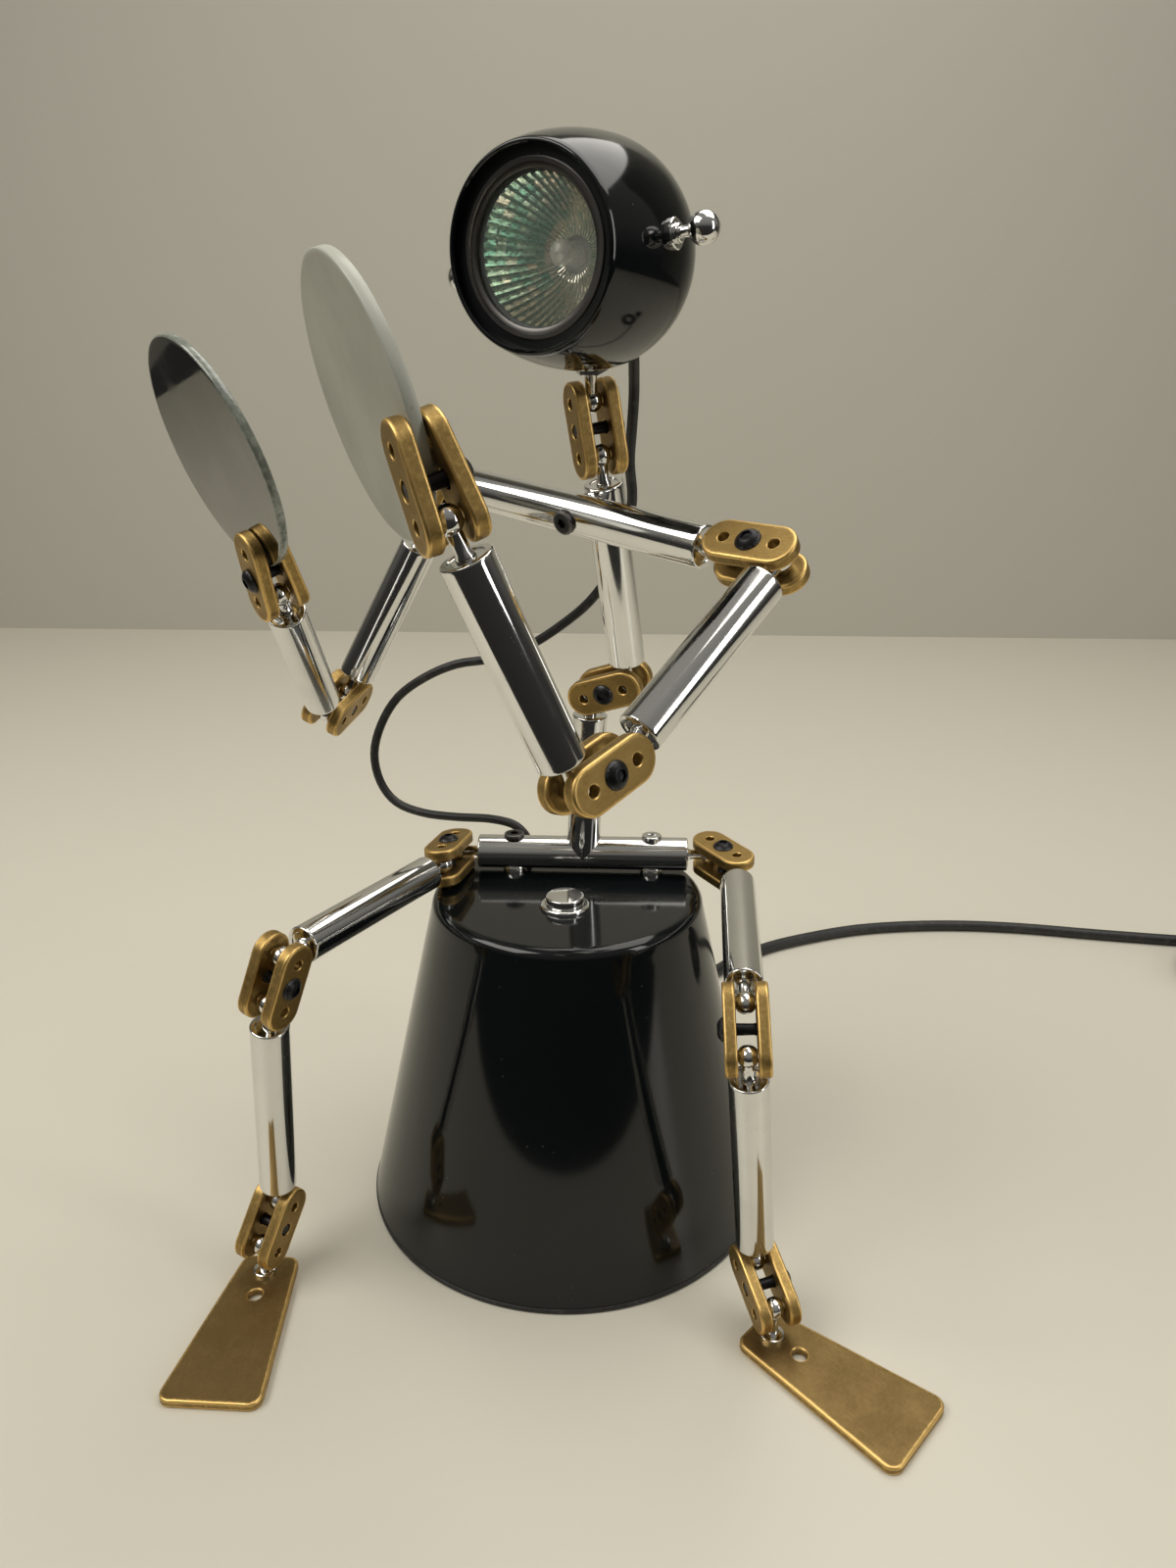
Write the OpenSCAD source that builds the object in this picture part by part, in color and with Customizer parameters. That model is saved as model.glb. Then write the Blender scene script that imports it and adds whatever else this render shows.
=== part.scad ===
/* [Base] */
// Height of the can from the table to its top
base_h = 156.25; // [140:1.25:172.5]
// Outer diameter of the can at its foot
base_foot_d = 193.75; // [181.25:1.25:212.5]
// Outer diameter of the can where its straight side ends
base_top_d = 126.25; // [120:1.25:140]
// Radius of the rolled top edge of the can
base_edge_r = 5; // [2.5:0.625:7.5]
// Sheet thickness of the can
base_wall = 1.5; // [1:0.125:2.5]
// Thickness of the rubber pad under the can
foot_pad_t = 2.5; // [1.875:0.3125:3.75]
// Thickness of the steel plate that closes the can
base_plate_t = 1.875; // [1.25:0.125:3.125]

/* [Switch] */
// Diameter of the push button
button_d = 17.5; // [15:0.625:20]
// Height of the button above its bezel
button_h = 4.375; // [3.75:0.3125:6.25]
// Travel of the button
button_travel = 2.5; // [1.875:0.3125:3.125]
// Diameter of the switch body inside the can
switch_d = 18.75; // [16.25:0.625:22.5]
// How far the button stands in front of the can's axis
button_ahead = 18.75; // [15:0.625:22.5]

/* [Tubes and ball studs] */
// Outer diameter of every tube and bar
tube_d = 15.875; // [13.75:0.125:17.5]
// Wall of the tubes
tube_wall = 1.875; // [1.25:0.125:3.125]
// Diameter of the balls
ball_d = 8.75; // [8.125:0.125:9.375]
// Diameter of the studs' stems
stem_d = 4.75; // [3.75:0.125:5]
// Distance from a ball's centre to its tube's end
stud_reach = 10.875; // [10.625:0.125:12.5]
// Length of a stud's plug inside its tube
plug_l = 10; // [6.25:0.625:15]

/* [Brass clamps] */
// Distance between the two ball seats of a clamp
clamp_pitch = 20; // [18.75:0.625:23.75]
// Thickness of a brass plate
plate_t = 5; // [3.75:0.3125:6.25]
// Width of a brass plate, whose ends are half round
plate_w = 16.25; // [15:0.625:17.5]
// Gap between the two plates of a clamp
plate_gap = 7.75; // [7.25:0.125:8]
// Diameter of the clamp screws
screw_d = 5; // [3.75:0.125:5.25]
// Diameter of the screws' button heads
screw_head_d = 9.5; // [8.75:0.125:10]
// Height of the screws' button heads
screw_head_h = 2.75; // [2.25:0.125:3.25]
// Width across the corners of the screws' hexagon sockets
socket_d = 3.625; // [2.5:0.125:4]

/* [Limbs] */
// Thigh, between the centres of its balls
thigh_span = 101.25; // [87.5:1.25:112.5]
// Shin, between the centres of its balls
shin_span = 112.5; // [100:1.25:125]
// Upper arm, between the centres of its balls
upper_arm_span = 92.5; // [82.5:1.25:102.5]
// Forearm, between the centres of its balls
forearm_span = 90; // [82.5:1.25:100]
// Torso, between the centres of its balls
torso_span = 102.5; // [95:1.25:112.5]
// Pelvis bar, between the centres of its balls
pelvis_span = 122.5; // [115:1.25:137.5]
// Shoulder bar, between the centres of its balls
shoulder_span = 145; // [137.5:1.25:157.5]
// Spine post, from the pelvis bar's axis to the centre of its ball
post_span = 82.5; // [75:1.25:90]
// How far the shoulder bar crosses below the neck's ball
shoulder_drop = 17.5; // [15:0.625:25]
// Washer between the pelvis bar and the can
pelvis_washer_t = 1.5; // [1.25:0.125:3.75]
// How far the pelvis bar lies behind the can's axis
pelvis_behind = 21.875; // [15:0.625:25]
// How far the pelvis bar sits to the robot's left of the can's axis
pelvis_offset = 6.25; // [0:0.625:10]

/* [Feet] */
// Length of a foot plate
foot_l = 77.5; // [67.5:1.25:87.5]
// Width of a foot plate at the heel
foot_heel_w = 25; // [22.5:0.625:30]
// Width of a foot plate at the toe
foot_toe_w = 42.5; // [35:0.625:47.5]
// Thickness of a foot plate
foot_t = 3.75; // [3.125:0.3125:5]
// Corner radius of a foot plate
foot_corner_r = 5; // [2.5:0.625:7.5]
// Height of an ankle's lower ball above the table
ankle_ball_z = 18.5; // [16.875:0.125:22.5]
// Distance from the heel edge to the ankle's stem
ankle_inset = 9.375; // [8.125:0.625:12.5]
// Diameter of the hole in front of the stem
foot_hole_d = 6.25; // [3.75:0.125:7.5]
// Distance from the ankle's stem to that hole
foot_hole_ahead = 13.5; // [11.875:0.125:18.75]

/* [Hands] */
// Diameter of the mirror
mirror_d = 83.75; // [70:1.25:90]
// Thickness of the mirror
mirror_t = 3.125; // [2.5:0.125:5]
// Diameter of the frosted glass
frosted_d = 80; // [70:1.25:90]
// Thickness of the frosted glass
frosted_t = 3.75; // [2.5:0.125:5]

/* [Head] */
// Outer diameter of the head's ball
head_d = 76; // [72:1:80]
// Sheet thickness of the head
head_wall = 1.5; // [1:0.125:2.5]
// Distance from the neck's upper ball to the head's centre
head_reach = 52; // [52:1:58]
// Across the flats of the nut under the head
head_nut_af = 11.875; // [10:0.625:13.75]
// Height of the nut under the head
head_nut_h = 2; // [1.5:0.125:2.5]
// Diameter of the ear balls
ear_ball_d = 10.625; // [8.75:0.125:12.5]
// Distance from the lamp's axis to an ear ball's centre
ear_reach = 49; // [47:1:53]

/* [Halogen lamp] */
// Rim diameter of the reflector lamp
lamp_d = 50; // [49:0.5:51]
// Depth of the reflector behind its rim
lamp_depth = 37.5; // [32.5:1.25:41.25]
// Clear opening of the ring in front of the lamp
ring_open_d = 47; // [45:0.5:48.5]

/* [Cords] */
// Diameter of the mains cord
mains_d = 7.625; // [6.875:0.125:8.25]
// Diameter of the lamp lead
lead_d = 4.375; // [3.75:0.125:4.75]
// Turns of the stored coil
coil_turns = 6; // [4:1:8]
// Mean diameter of the stored coil
coil_d = 83.75; // [77.5:1.25:95]

/* [Hidden] */
$fn = 48;

BRASS = "goldenrod";
CHROME = "silver";
ENAMEL = "#16161a";
OXIDE = "#2a2a2c";
RUBBER = "#101010";

// Pose of the robot: each link points along [turn about Z from +X, rise above the level].
// Left and right are the robot's own. It faces -Y.
POST = [-62, 84];
WAIST = [-24.5, 19];
TORSO = [-113, 71.5];
NECK = [168, 80];
HEAD_STEM = [-93.2, 67.6];
LAMP_AIM = [-118.5, -3.6];
SHOULDERS = [-38, -7.4];
RIGHT_SHOULDER = [-163, -63.4];
RIGHT_UPPER_ARM = [159.3, -58.5];
RIGHT_ELBOW = [-105.8, -14.4];
RIGHT_FOREARM = [-87, 45.3];
RIGHT_WRIST = [-101.5, 64.7];
LEFT_SHOULDER = [-38, -2.7];
LEFT_UPPER_ARM = [-136.2, -36.2];
LEFT_ELBOW = [-132.2, -16.6];
LEFT_FOREARM = [-147.5, 65];
LEFT_WRIST = [169.7, 69.2];
RIGHT_HIP = [-100, 3];
RIGHT_THIGH_TURN = -119;
RIGHT_KNEE = [-145, -69];
RIGHT_SHIN = [123, -79];
RIGHT_ANKLE = [-124, -57];
RIGHT_FOOT_TURN = -91;
LEFT_HIP = [-55, -4];
LEFT_THIGH_TURN = -93;
LEFT_KNEE = [-88, -49];
LEFT_SHIN = [58, -80];
LEFT_ANKLE = [-69, -27];
LEFT_FOOT_TURN = -41;
PELVIS = [0, 0];
// Roll of each clamp's plates about its own line; the screw's head is on the rolled side
WAIST_ROLL = -78;
NECK_ROLL = -146;
RIGHT_SHOULDER_ROLL = 153.6;
RIGHT_ELBOW_ROLL = -114.5;
RIGHT_WRIST_ROLL = -36.5;
LEFT_SHOULDER_ROLL = -137;
LEFT_ELBOW_ROLL = 102;
LEFT_WRIST_ROLL = -143;
RIGHT_HIP_ROLL = -176;
RIGHT_KNEE_ROLL = 62;
RIGHT_ANKLE_ROLL = -102;
LEFT_HIP_ROLL = -174;
LEFT_KNEE_ROLL = -83;
LEFT_ANKLE_ROLL = 95;
// How far each disc's middle leans off its clamp's line
MIRROR_LEAN = 15.5;
FROSTED_LEAN = -47.9;

function unit(v) = v / norm(v);
function aim(a) = [cos(a[1]) * cos(a[0]), cos(a[1]) * sin(a[0]), sin(a[1])];
// Angle about a link's line, from its local X, at which a direction lies
function roll_to(a, n) = atan2(
    n * [-sin(a[0]), cos(a[0]), 0],
    n * [sin(a[1]) * cos(a[0]), sin(a[1]) * sin(a[0]), -cos(a[1])]);

// Places of the ball centres, from the can's top up and down the limbs
bar_z = base_h + pelvis_washer_t + tube_d / 2;
bar_mid = [pelvis_offset, pelvis_behind, bar_z];
waist_a = bar_mid + post_span * aim(POST);
waist_b = waist_a + clamp_pitch * aim(WAIST);
neck_a = waist_b + torso_span * aim(TORSO);
neck_b = neck_a + clamp_pitch * aim(NECK);
head_mid = neck_b + head_reach * aim(HEAD_STEM);

torso_front = unit(cross(aim(SHOULDERS), aim(TORSO)));
shoulder_washer_t = 1;
SHOULDER_OFFSET = 1;
shoulder_cross = neck_a - shoulder_drop * aim(TORSO);
shoulder_mid = shoulder_cross + (tube_d + shoulder_washer_t) * torso_front;
left_shoulder_a = shoulder_mid + (shoulder_span / 2 - SHOULDER_OFFSET) * aim(SHOULDERS);
left_shoulder_b = left_shoulder_a + clamp_pitch * aim(LEFT_SHOULDER);
left_elbow_a = left_shoulder_b + upper_arm_span * aim(LEFT_UPPER_ARM);
left_elbow_b = left_elbow_a + clamp_pitch * aim(LEFT_ELBOW);
left_wrist_a = left_elbow_b + forearm_span * aim(LEFT_FOREARM);
right_shoulder_a = shoulder_mid - (shoulder_span / 2 + SHOULDER_OFFSET) * aim(SHOULDERS);
right_shoulder_b = right_shoulder_a + clamp_pitch * aim(RIGHT_SHOULDER);
right_elbow_a = right_shoulder_b + upper_arm_span * aim(RIGHT_UPPER_ARM);
right_elbow_b = right_elbow_a + clamp_pitch * aim(RIGHT_ELBOW);
right_wrist_a = right_elbow_b + forearm_span * aim(RIGHT_FOREARM);

// A thigh rises or falls just so much that its foot lies flat on the table
function thigh_rise(hip, knee, shin, ankle) = asin((ankle_ball_z - bar_z
    - clamp_pitch * (sin(hip[1]) + sin(knee[1]) + sin(ankle[1]))
    - shin_span * sin(shin[1])) / thigh_span);
RIGHT_THIGH = [RIGHT_THIGH_TURN, thigh_rise(RIGHT_HIP, RIGHT_KNEE, RIGHT_SHIN, RIGHT_ANKLE)];
LEFT_THIGH = [LEFT_THIGH_TURN, thigh_rise(LEFT_HIP, LEFT_KNEE, LEFT_SHIN, LEFT_ANKLE)];
right_hip_a = bar_mid - pelvis_span / 2 * aim(PELVIS);
right_hip_b = right_hip_a + clamp_pitch * aim(RIGHT_HIP);
right_knee_a = right_hip_b + thigh_span * aim(RIGHT_THIGH);
right_knee_b = right_knee_a + clamp_pitch * aim(RIGHT_KNEE);
right_ankle_a = right_knee_b + shin_span * aim(RIGHT_SHIN);
right_ankle_b = right_ankle_a + clamp_pitch * aim(RIGHT_ANKLE);
left_hip_a = bar_mid + pelvis_span / 2 * aim(PELVIS);
left_hip_b = left_hip_a + clamp_pitch * aim(LEFT_HIP);
left_knee_a = left_hip_b + thigh_span * aim(LEFT_THIGH);
left_knee_b = left_knee_a + clamp_pitch * aim(LEFT_KNEE);
left_ankle_a = left_knee_b + shin_span * aim(LEFT_SHIN);
left_ankle_b = left_ankle_a + clamp_pitch * aim(LEFT_ANKLE);

// Clearances
seat_clear = 0.05;
counterbore = 1;
slip = 0.1875;
near = 0.375;
// A ball sits on the edges of its two seat holes
seat_r = sqrt(pow(ball_d / 2, 2) - pow(plate_gap / 2, 2)) + seat_clear;
screw_hole_d = screw_d + 2 * slip;

// Puts children at a point, with their +Z along a link's direction
module on(p, a, roll = 0) {
    translate(p) rotate([0, 90 - a[1], a[0]]) rotate([0, 0, roll]) children();
}

/* ---- tubes with ball studs ---- */
module stud() {
    plug_d = tube_d - 2 * tube_wall;
    sphere(d = ball_d);
    cylinder(d = stem_d, h = stud_reach + 1.25);
    translate([0, 0, stud_reach]) cylinder(d = plug_d, h = plug_l);
}

module tube(length) {
    difference() {
        cylinder(d = tube_d, h = length);
        translate([0, 0, -1.25]) cylinder(d = tube_d - 2 * tube_wall, h = length + 2.5);
    }
}

module limb(span) {
    color(CHROME) {
        translate([0, 0, stud_reach]) tube(span - 2 * stud_reach);
        stud();
        translate([0, 0, span]) rotate([180, 0, 0]) stud();
    }
}

/* ---- brass clamps ---- */
// Stadium outline from the first ball seat at 0 to the second at -clamp_pitch along X
module plate_outline(hole_shift = 0) {
    difference() {
        union() {
            circle(d = plate_w);
            translate([-clamp_pitch, 0]) circle(d = plate_w);
            translate([-clamp_pitch, -plate_w / 2]) square([clamp_pitch, plate_w]);
        }
        circle(r = seat_r);
        translate([-clamp_pitch, 0]) circle(r = seat_r);
        translate([-clamp_pitch / 2 + hole_shift, 0]) circle(d = screw_hole_d + hole_shift);
    }
}

// Plates that grip something thinner than a ball lean together about the ball
function plate_tilt(grip_t) = asin(
    max(0, (plate_gap - grip_t) / 2 - 0.025) / (clamp_pitch + plate_w / 2));

module clamp_plates(grip_t = plate_gap) {
    tilt = plate_tilt(grip_t);
    shift = (plate_gap + plate_t) / 2 * tan(tilt);
    color(BRASS) {
        rotate([0, 90 - tilt, 0]) translate([0, 0, plate_gap / 2])
            linear_extrude(plate_t) plate_outline(shift);
        rotate([0, 90 + tilt, 0]) translate([0, 0, -plate_gap / 2 - plate_t])
            linear_extrude(plate_t) plate_outline(shift);
    }
}

// Button head screw through both plates, head on the +X side
module clamp_screw(grip_t = plate_gap) {
    tilt = plate_tilt(grip_t);
    head_x = (plate_gap / 2 + plate_t) * cos(tilt) - (clamp_pitch - screw_head_d) / 2 * sin(tilt);
    tail_x = (plate_gap / 2 + plate_t) * cos(tilt) - clamp_pitch / 2 * sin(tilt) - near;
    crown_r = (pow(screw_head_d / 2, 2) + pow(screw_head_h, 2)) / (2 * screw_head_h);
    color(OXIDE) translate([0, 0, clamp_pitch / 2]) rotate([0, 90, 0]) difference() {
        union() {
            translate([0, 0, -tail_x]) cylinder(d = screw_d, h = head_x + tail_x + 0.125);
            intersection() {
                translate([0, 0, head_x]) cylinder(d = screw_head_d, h = screw_head_h);
                translate([0, 0, head_x + screw_head_h - crown_r - 0.25]) sphere(r = crown_r + 0.25);
            }
        }
        translate([0, 0, head_x + screw_head_h / 2]) cylinder(d = socket_d, h = screw_head_h, $fn = 6);
    }
}

/* ---- base ---- */
wall_lean = atan((base_foot_d - base_top_d) / 2 / (base_h - base_edge_r - foot_pad_t));
// Outer radius of the can at a height
function can_r(z) = base_foot_d / 2 - (z - foot_pad_t) * tan(wall_lean);

module can_profile(inset) {
    top = base_h - inset;
    edge = base_edge_r;
    side = inset / cos(wall_lean);
    foot_z = foot_pad_t;
    corner_r = base_top_d / 2 - side;
    polygon(concat(
        [[0, foot_z], [can_r(foot_z) - side, foot_z]],
        [for (a = [wall_lean : (90 - wall_lean) / 8 : 90.01])
            [corner_r - edge + edge * cos(a), top - edge + edge * sin(a)]],
        [[0, top]]));
}

lead_hole = [-22.5, 41.25];
grommet_h = 2.5;
gland_turn = 70;
gland_z = 16.25;
pelvis_screw_spread = 33.125;
plate_lugs = 3;
lug_z = foot_pad_t + base_plate_t;
lug_h = 7.5;
lug_r = base_foot_d / 2 - 13.75;
lug_screw_d = 3.75;
bezel_d = switch_d + 3.75;
bezel_h = 1.875;
stem_hole_d = 10;

module base_shell() {
    color(ENAMEL) {
        difference() {
            rotate_extrude($fn = 96) can_profile(0);
            translate([0, 0, -0.001]) rotate_extrude($fn = 96) can_profile(base_wall);
            translate([0, -button_ahead, base_h - 6.25]) cylinder(d = switch_d + 0.125, h = 12.5);
            translate([lead_hole[0], lead_hole[1], base_h - 6.25]) cylinder(d = lead_d + 3.75, h = 12.5);
            for (s = [-1, 1])
                translate([pelvis_offset + s * pelvis_screw_spread, pelvis_behind, base_h - 6.25])
                    cylinder(d = screw_hole_d, h = 12.5);
            on([0, 0, gland_z], [gland_turn, 0]) cylinder(d = mains_d + 5, h = base_foot_d);
        }
        for (i = [0 : plate_lugs - 1]) rotate([0, 0, 30 + i * 360 / plate_lugs]) lug();
    }
}

// Lug inside the can that takes a screw of the bottom plate
module lug() {
    difference() {
        intersection() {
            translate([lug_r - 6.25, -6.25, lug_z]) cube([25, 12.5, lug_h]);
            rotate_extrude($fn = 96) can_profile(base_wall);
        }
        translate([lug_r, 0, lug_z - 1.25]) cylinder(d = lug_screw_d, h = lug_h + 2.5);
    }
}

module base_plate() {
    color("gray") difference() {
        translate([0, 0, foot_pad_t])
            cylinder(r = can_r(lug_z) - base_wall - 1, h = base_plate_t, $fn = 96);
        for (i = [0 : plate_lugs - 1]) rotate([0, 0, 30 + i * 360 / plate_lugs])
            translate([lug_r, 0, 0]) cylinder(d = lug_screw_d + 0.5, h = 25);
    }
    color(CHROME) for (i = [0 : plate_lugs - 1]) rotate([0, 0, 30 + i * 360 / plate_lugs])
        translate([lug_r, 0, foot_pad_t]) plate_screw();
}

module plate_screw() {
    cylinder(d = lug_screw_d, h = base_plate_t + lug_h);
    translate([0, 0, -1.875]) cylinder(d = 2 * lug_screw_d, h = 1.875);
}

module foot_pad() {
    color(RUBBER) difference() {
        cylinder(r = base_foot_d / 2 + 0.5, h = foot_pad_t, $fn = 96);
        for (i = [0 : plate_lugs - 1]) rotate([0, 0, 30 + i * 360 / plate_lugs])
            translate([lug_r, 0, 0.375]) cylinder(d = 2 * lug_screw_d + 1.25, h = 12.5);
    }
}

core_w = 66;
core_l = 55;
core_h = 25;
coil_w = 46;
coil_l = 50;
coil_h = 52;
floor_z = foot_pad_t + base_plate_t;

module transformer() {
    stack_z = floor_z + (coil_h - core_h) / 2;
    translate([0, -5, 0]) {
        color("dimgray") difference() {
            translate([-core_w / 2, -core_l / 2, stack_z]) cube([core_w, core_l, core_h]);
            translate([-coil_w / 2, -coil_l / 2, floor_z]) cube([coil_w, coil_l, coil_h]);
        }
        color("orange") translate([-coil_w / 2, -coil_l / 2, floor_z]) cube([coil_w, coil_l, coil_h]);
        color("gray") for (s = [-1, 1]) translate([s * core_w / 2 - (s > 0 ? 10 : 0), -10, floor_z])
            cube([10, 20, stack_z - floor_z]);
    }
    color("ivory") translate([-18.75, core_l / 2 - 2.5, floor_z]) cube([37.5, 17.5, 20]);
}

module switch_body() {
    translate([0, -button_ahead, base_h]) {
        color(CHROME) difference() {
            union() {
                cylinder(d = bezel_d, h = bezel_h);
                translate([0, 0, -10]) cylinder(d = switch_d, h = 10.625);
            }
            translate([0, 0, -button_travel - 1.25]) cylinder(d = button_d + 0.125, h = 25);
            translate([0, 0, -11.25]) cylinder(d = 7.5, h = 25);
        }
        color("dimgray") translate([0, 0, -base_wall - 4]) difference() {
            cylinder(d = switch_d + 7.5, h = 4, $fn = 6);
            translate([0, 0, -1.25]) cylinder(d = switch_d, h = 7.5);
        }
        color(OXIDE) translate([0, 0, -32.5]) cylinder(d = switch_d - 1.25, h = 22.5);
        color(BRASS) for (s = [-1, 1]) translate([s * 5 - 0.5, -2.5, -41.25]) cube([1, 5, 8.75]);
    }
}

module switch_button() {
    cap_r = 50;
    color(CHROME) translate([0, -button_ahead, base_h]) {
        intersection() {
            translate([0, 0, bezel_h - 1.25]) cylinder(d = button_d, h = button_h + 1.25);
            translate([0, 0, bezel_h + button_h - cap_r]) sphere(r = cap_r, $fn = 96);
        }
        translate([0, 0, -6.875]) cylinder(d = 7.375, h = 8.75);
    }
}

/* ---- pelvis bar and spine post ---- */
module pelvis_bar() {
    top_z = pelvis_washer_t + tube_d - counterbore;
    color(CHROME) {
        difference() {
            on(right_hip_a, PELVIS) translate([0, 0, stud_reach]) tube(pelvis_span - 2 * stud_reach);
            for (s = [-1, 1]) translate([pelvis_offset + s * pelvis_screw_spread, pelvis_behind, base_h])
                union() {
                    cylinder(d = screw_hole_d, h = 50);
                    translate([0, 0, top_z]) cylinder(d = screw_head_d + 0.75, h = 25);
                }
        }
        on(right_hip_a, PELVIS) stud();
        on(left_hip_a, PELVIS) rotate([180, 0, 0]) stud();
        difference() {
            on(bar_mid, POST) tube(post_span - stud_reach);
            on(right_hip_a, PELVIS) cylinder(d = tube_d, h = pelvis_span);
            translate(bar_mid - [25, 25, 25]) cube([50, 50, 25]);
        }
        on(waist_a, POST) rotate([180, 0, 0]) stud();
        for (s = [-1, 1]) translate([pelvis_offset + s * pelvis_screw_spread, pelvis_behind, base_h])
            bar_washer();
    }
}

// Saddle washer between the can and the round bar
module bar_washer() {
    difference() {
        cylinder(d = 11.25, h = pelvis_washer_t + 1.875);
        translate([0, 0, -1.25]) cylinder(d = screw_hole_d, h = 12.5);
        translate([-12.5, 0, pelvis_washer_t + tube_d / 2]) rotate([0, 90, 0])
            cylinder(d = tube_d, h = 25);
    }
}

module pelvis_bar_screws() {
    for (s = [-1, 1]) translate([pelvis_offset + s * pelvis_screw_spread, pelvis_behind, base_h])
        color(s < 0 ? OXIDE : CHROME) {
            translate([0, 0, pelvis_washer_t + tube_d - counterbore])
                socket_screw(pelvis_washer_t + tube_d + 6.25);
            translate([0, 0, -base_wall - 4]) difference() {
                cylinder(d = screw_d + 5, h = 4, $fn = 6);
                translate([0, 0, -1.25]) cylinder(d = screw_d, h = 7.5);
            }
        }
}

// Flat headed socket screw whose head sits at 0 and whose shank hangs below it
module socket_screw(shank) {
    difference() {
        union() {
            cylinder(d = screw_head_d, h = screw_head_h);
            translate([0, 0, -shank]) cylinder(d = screw_d, h = shank + 0.125);
        }
        translate([0, 0, screw_head_h / 2]) cylinder(d = socket_d, h = screw_head_h, $fn = 6);
    }
}

/* ---- torso, shoulders, head ---- */
module torso() {
    color(CHROME) difference() {
        union() {
            on(waist_b, TORSO) translate([0, 0, stud_reach]) tube(torso_span - 2 * stud_reach);
            on(waist_b, TORSO) stud();
            on(neck_a, TORSO) rotate([180, 0, 0]) stud();
        }
        shoulder_bore(screw_d);
    }
}

// Direction across both the torso and the shoulder bar, as [turn, rise]
FRONT = [atan2(torso_front[1], torso_front[0]), asin(torso_front[2])];

module shoulder_bore(d) {
    on(shoulder_cross, FRONT) translate([0, 0, -0.625]) cylinder(d = d, h = 50);
}

module shoulder_bar() {
    color(CHROME) {
        difference() {
            on(right_shoulder_a, SHOULDERS) translate([0, 0, stud_reach])
                tube(shoulder_span - 2 * stud_reach);
            shoulder_bore(screw_hole_d);
            on(shoulder_mid, FRONT) translate([0, 0, tube_d / 2 - counterbore])
                cylinder(d = screw_head_d + 0.8, h = 12.5);
        }
        on(right_shoulder_a, SHOULDERS) stud();
        on(left_shoulder_a, SHOULDERS) rotate([180, 0, 0]) stud();
    }
    color(OXIDE) on(shoulder_mid, FRONT) translate([0, 0, tube_d / 2 - counterbore])
        difference() {
            union() {
                cylinder(d = screw_head_d, h = screw_head_h);
                translate([0, 0, -1.5 * tube_d]) cylinder(d = screw_d - 0.125, h = 1.5 * tube_d + 0.125);
            }
            translate([0, 0, screw_head_h / 2]) cylinder(d = socket_d, h = screw_head_h, $fn = 6);
        }
    color(CHROME) on(shoulder_cross, FRONT) translate([0, 0, tube_d / 2 + 0.0625]) difference() {
        cylinder(d = 11.25, h = shoulder_washer_t + 0.1875);
        translate([0, 0, -1.25]) cylinder(d = screw_d + 0.125, h = 12.5);
    }
}

head_r = head_d / 2;
rim_z = 0.99 * head_r;
front_arc_r = 3 * head_r;
ring_z = rim_z - 3.5;
lamp_z = ring_z - 1.875;
ear_ahead = 8;
EAR_ROLL = 5.5;

// Outline of the head's ball about its lamp axis: round behind, fuller in front
function head_outline(inset) = concat(
    [for (a = [-90 : 7.5 : 0]) [(head_r - inset) * cos(a), (head_r - inset) * sin(a)]],
    [for (a = [2 : 2 : 20]) let (z = (front_arc_r - inset) * sin(a)) if (z < rim_z - 0.25)
        [head_r - front_arc_r + (front_arc_r - inset) * cos(a), z]],
    [[head_r - front_arc_r + sqrt(pow(front_arc_r - inset, 2) - pow(rim_z, 2)), rim_z]]);

function reversed(v) = [for (i = [len(v) - 1 : -1 : 0]) v[i]];

module in_head() {
    translate(head_mid) rotate([0, 90 - LAMP_AIM[1], LAMP_AIM[0]]) children();
}

// Each ear stands out sideways from the lamp's axis
module at_ear(s) {
    in_head() translate([0, 0, ear_ahead]) rotate([0, 0, EAR_ROLL]) rotate([s * 90, 0, 0]) children();
}

module head_shell() {
    color(ENAMEL) difference() {
        in_head() rotate_extrude($fn = 96)
            polygon(concat(head_outline(0), reversed(head_outline(head_wall))));
        on(neck_b, HEAD_STEM) cylinder(d = stem_d + 0.5, h = head_reach);
        for (s = [-1, 1]) at_ear(s) cylinder(d = 4.25, h = head_r + 6.25);
        on(head_mid, LEAD_EXIT) cylinder(d = lead_d + 1.25, h = head_r + 6.25);
    }
}

module head_stem() {
    nut_z = head_reach - head_r - head_nut_h - 0.125;
    color(CHROME) on(neck_b, HEAD_STEM) {
        sphere(d = ball_d);
        cylinder(d = stem_d, h = head_reach - head_r + head_wall + 6.25);
        translate([0, 0, nut_z]) difference() {
            cylinder(d = head_nut_af / cos(30), h = head_nut_h, $fn = 6);
            translate([0, 0, -1.25]) cylinder(d = stem_d, h = 12.5);
        }
        translate([0, 0, head_reach - head_r + head_wall + 0.75]) difference() {
            cylinder(d = head_nut_af / cos(30), h = head_nut_h, $fn = 6);
            translate([0, 0, -1.25]) cylinder(d = stem_d, h = 12.5);
        }
    }
}

module lamp_ring() {
    ring_out = head_r - front_arc_r + sqrt(pow(front_arc_r - head_wall, 2) - pow(ring_z, 2)) - 0.0625;
    color(ENAMEL) in_head() difference() {
        translate([0, 0, lamp_z]) cylinder(r = ring_out, h = ring_z - lamp_z, $fn = 96);
        translate([0, 0, lamp_z - 1.25]) cylinder(d = ring_open_d, h = 12.5, $fn = 96);
    }
}

// Reflector bowl: radius grows with the square root of the depth
function bowl_r(t) = 11.25 + (lamp_d / 2 - 1.875 - 11.25) * pow(t, 0.62);

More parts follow.
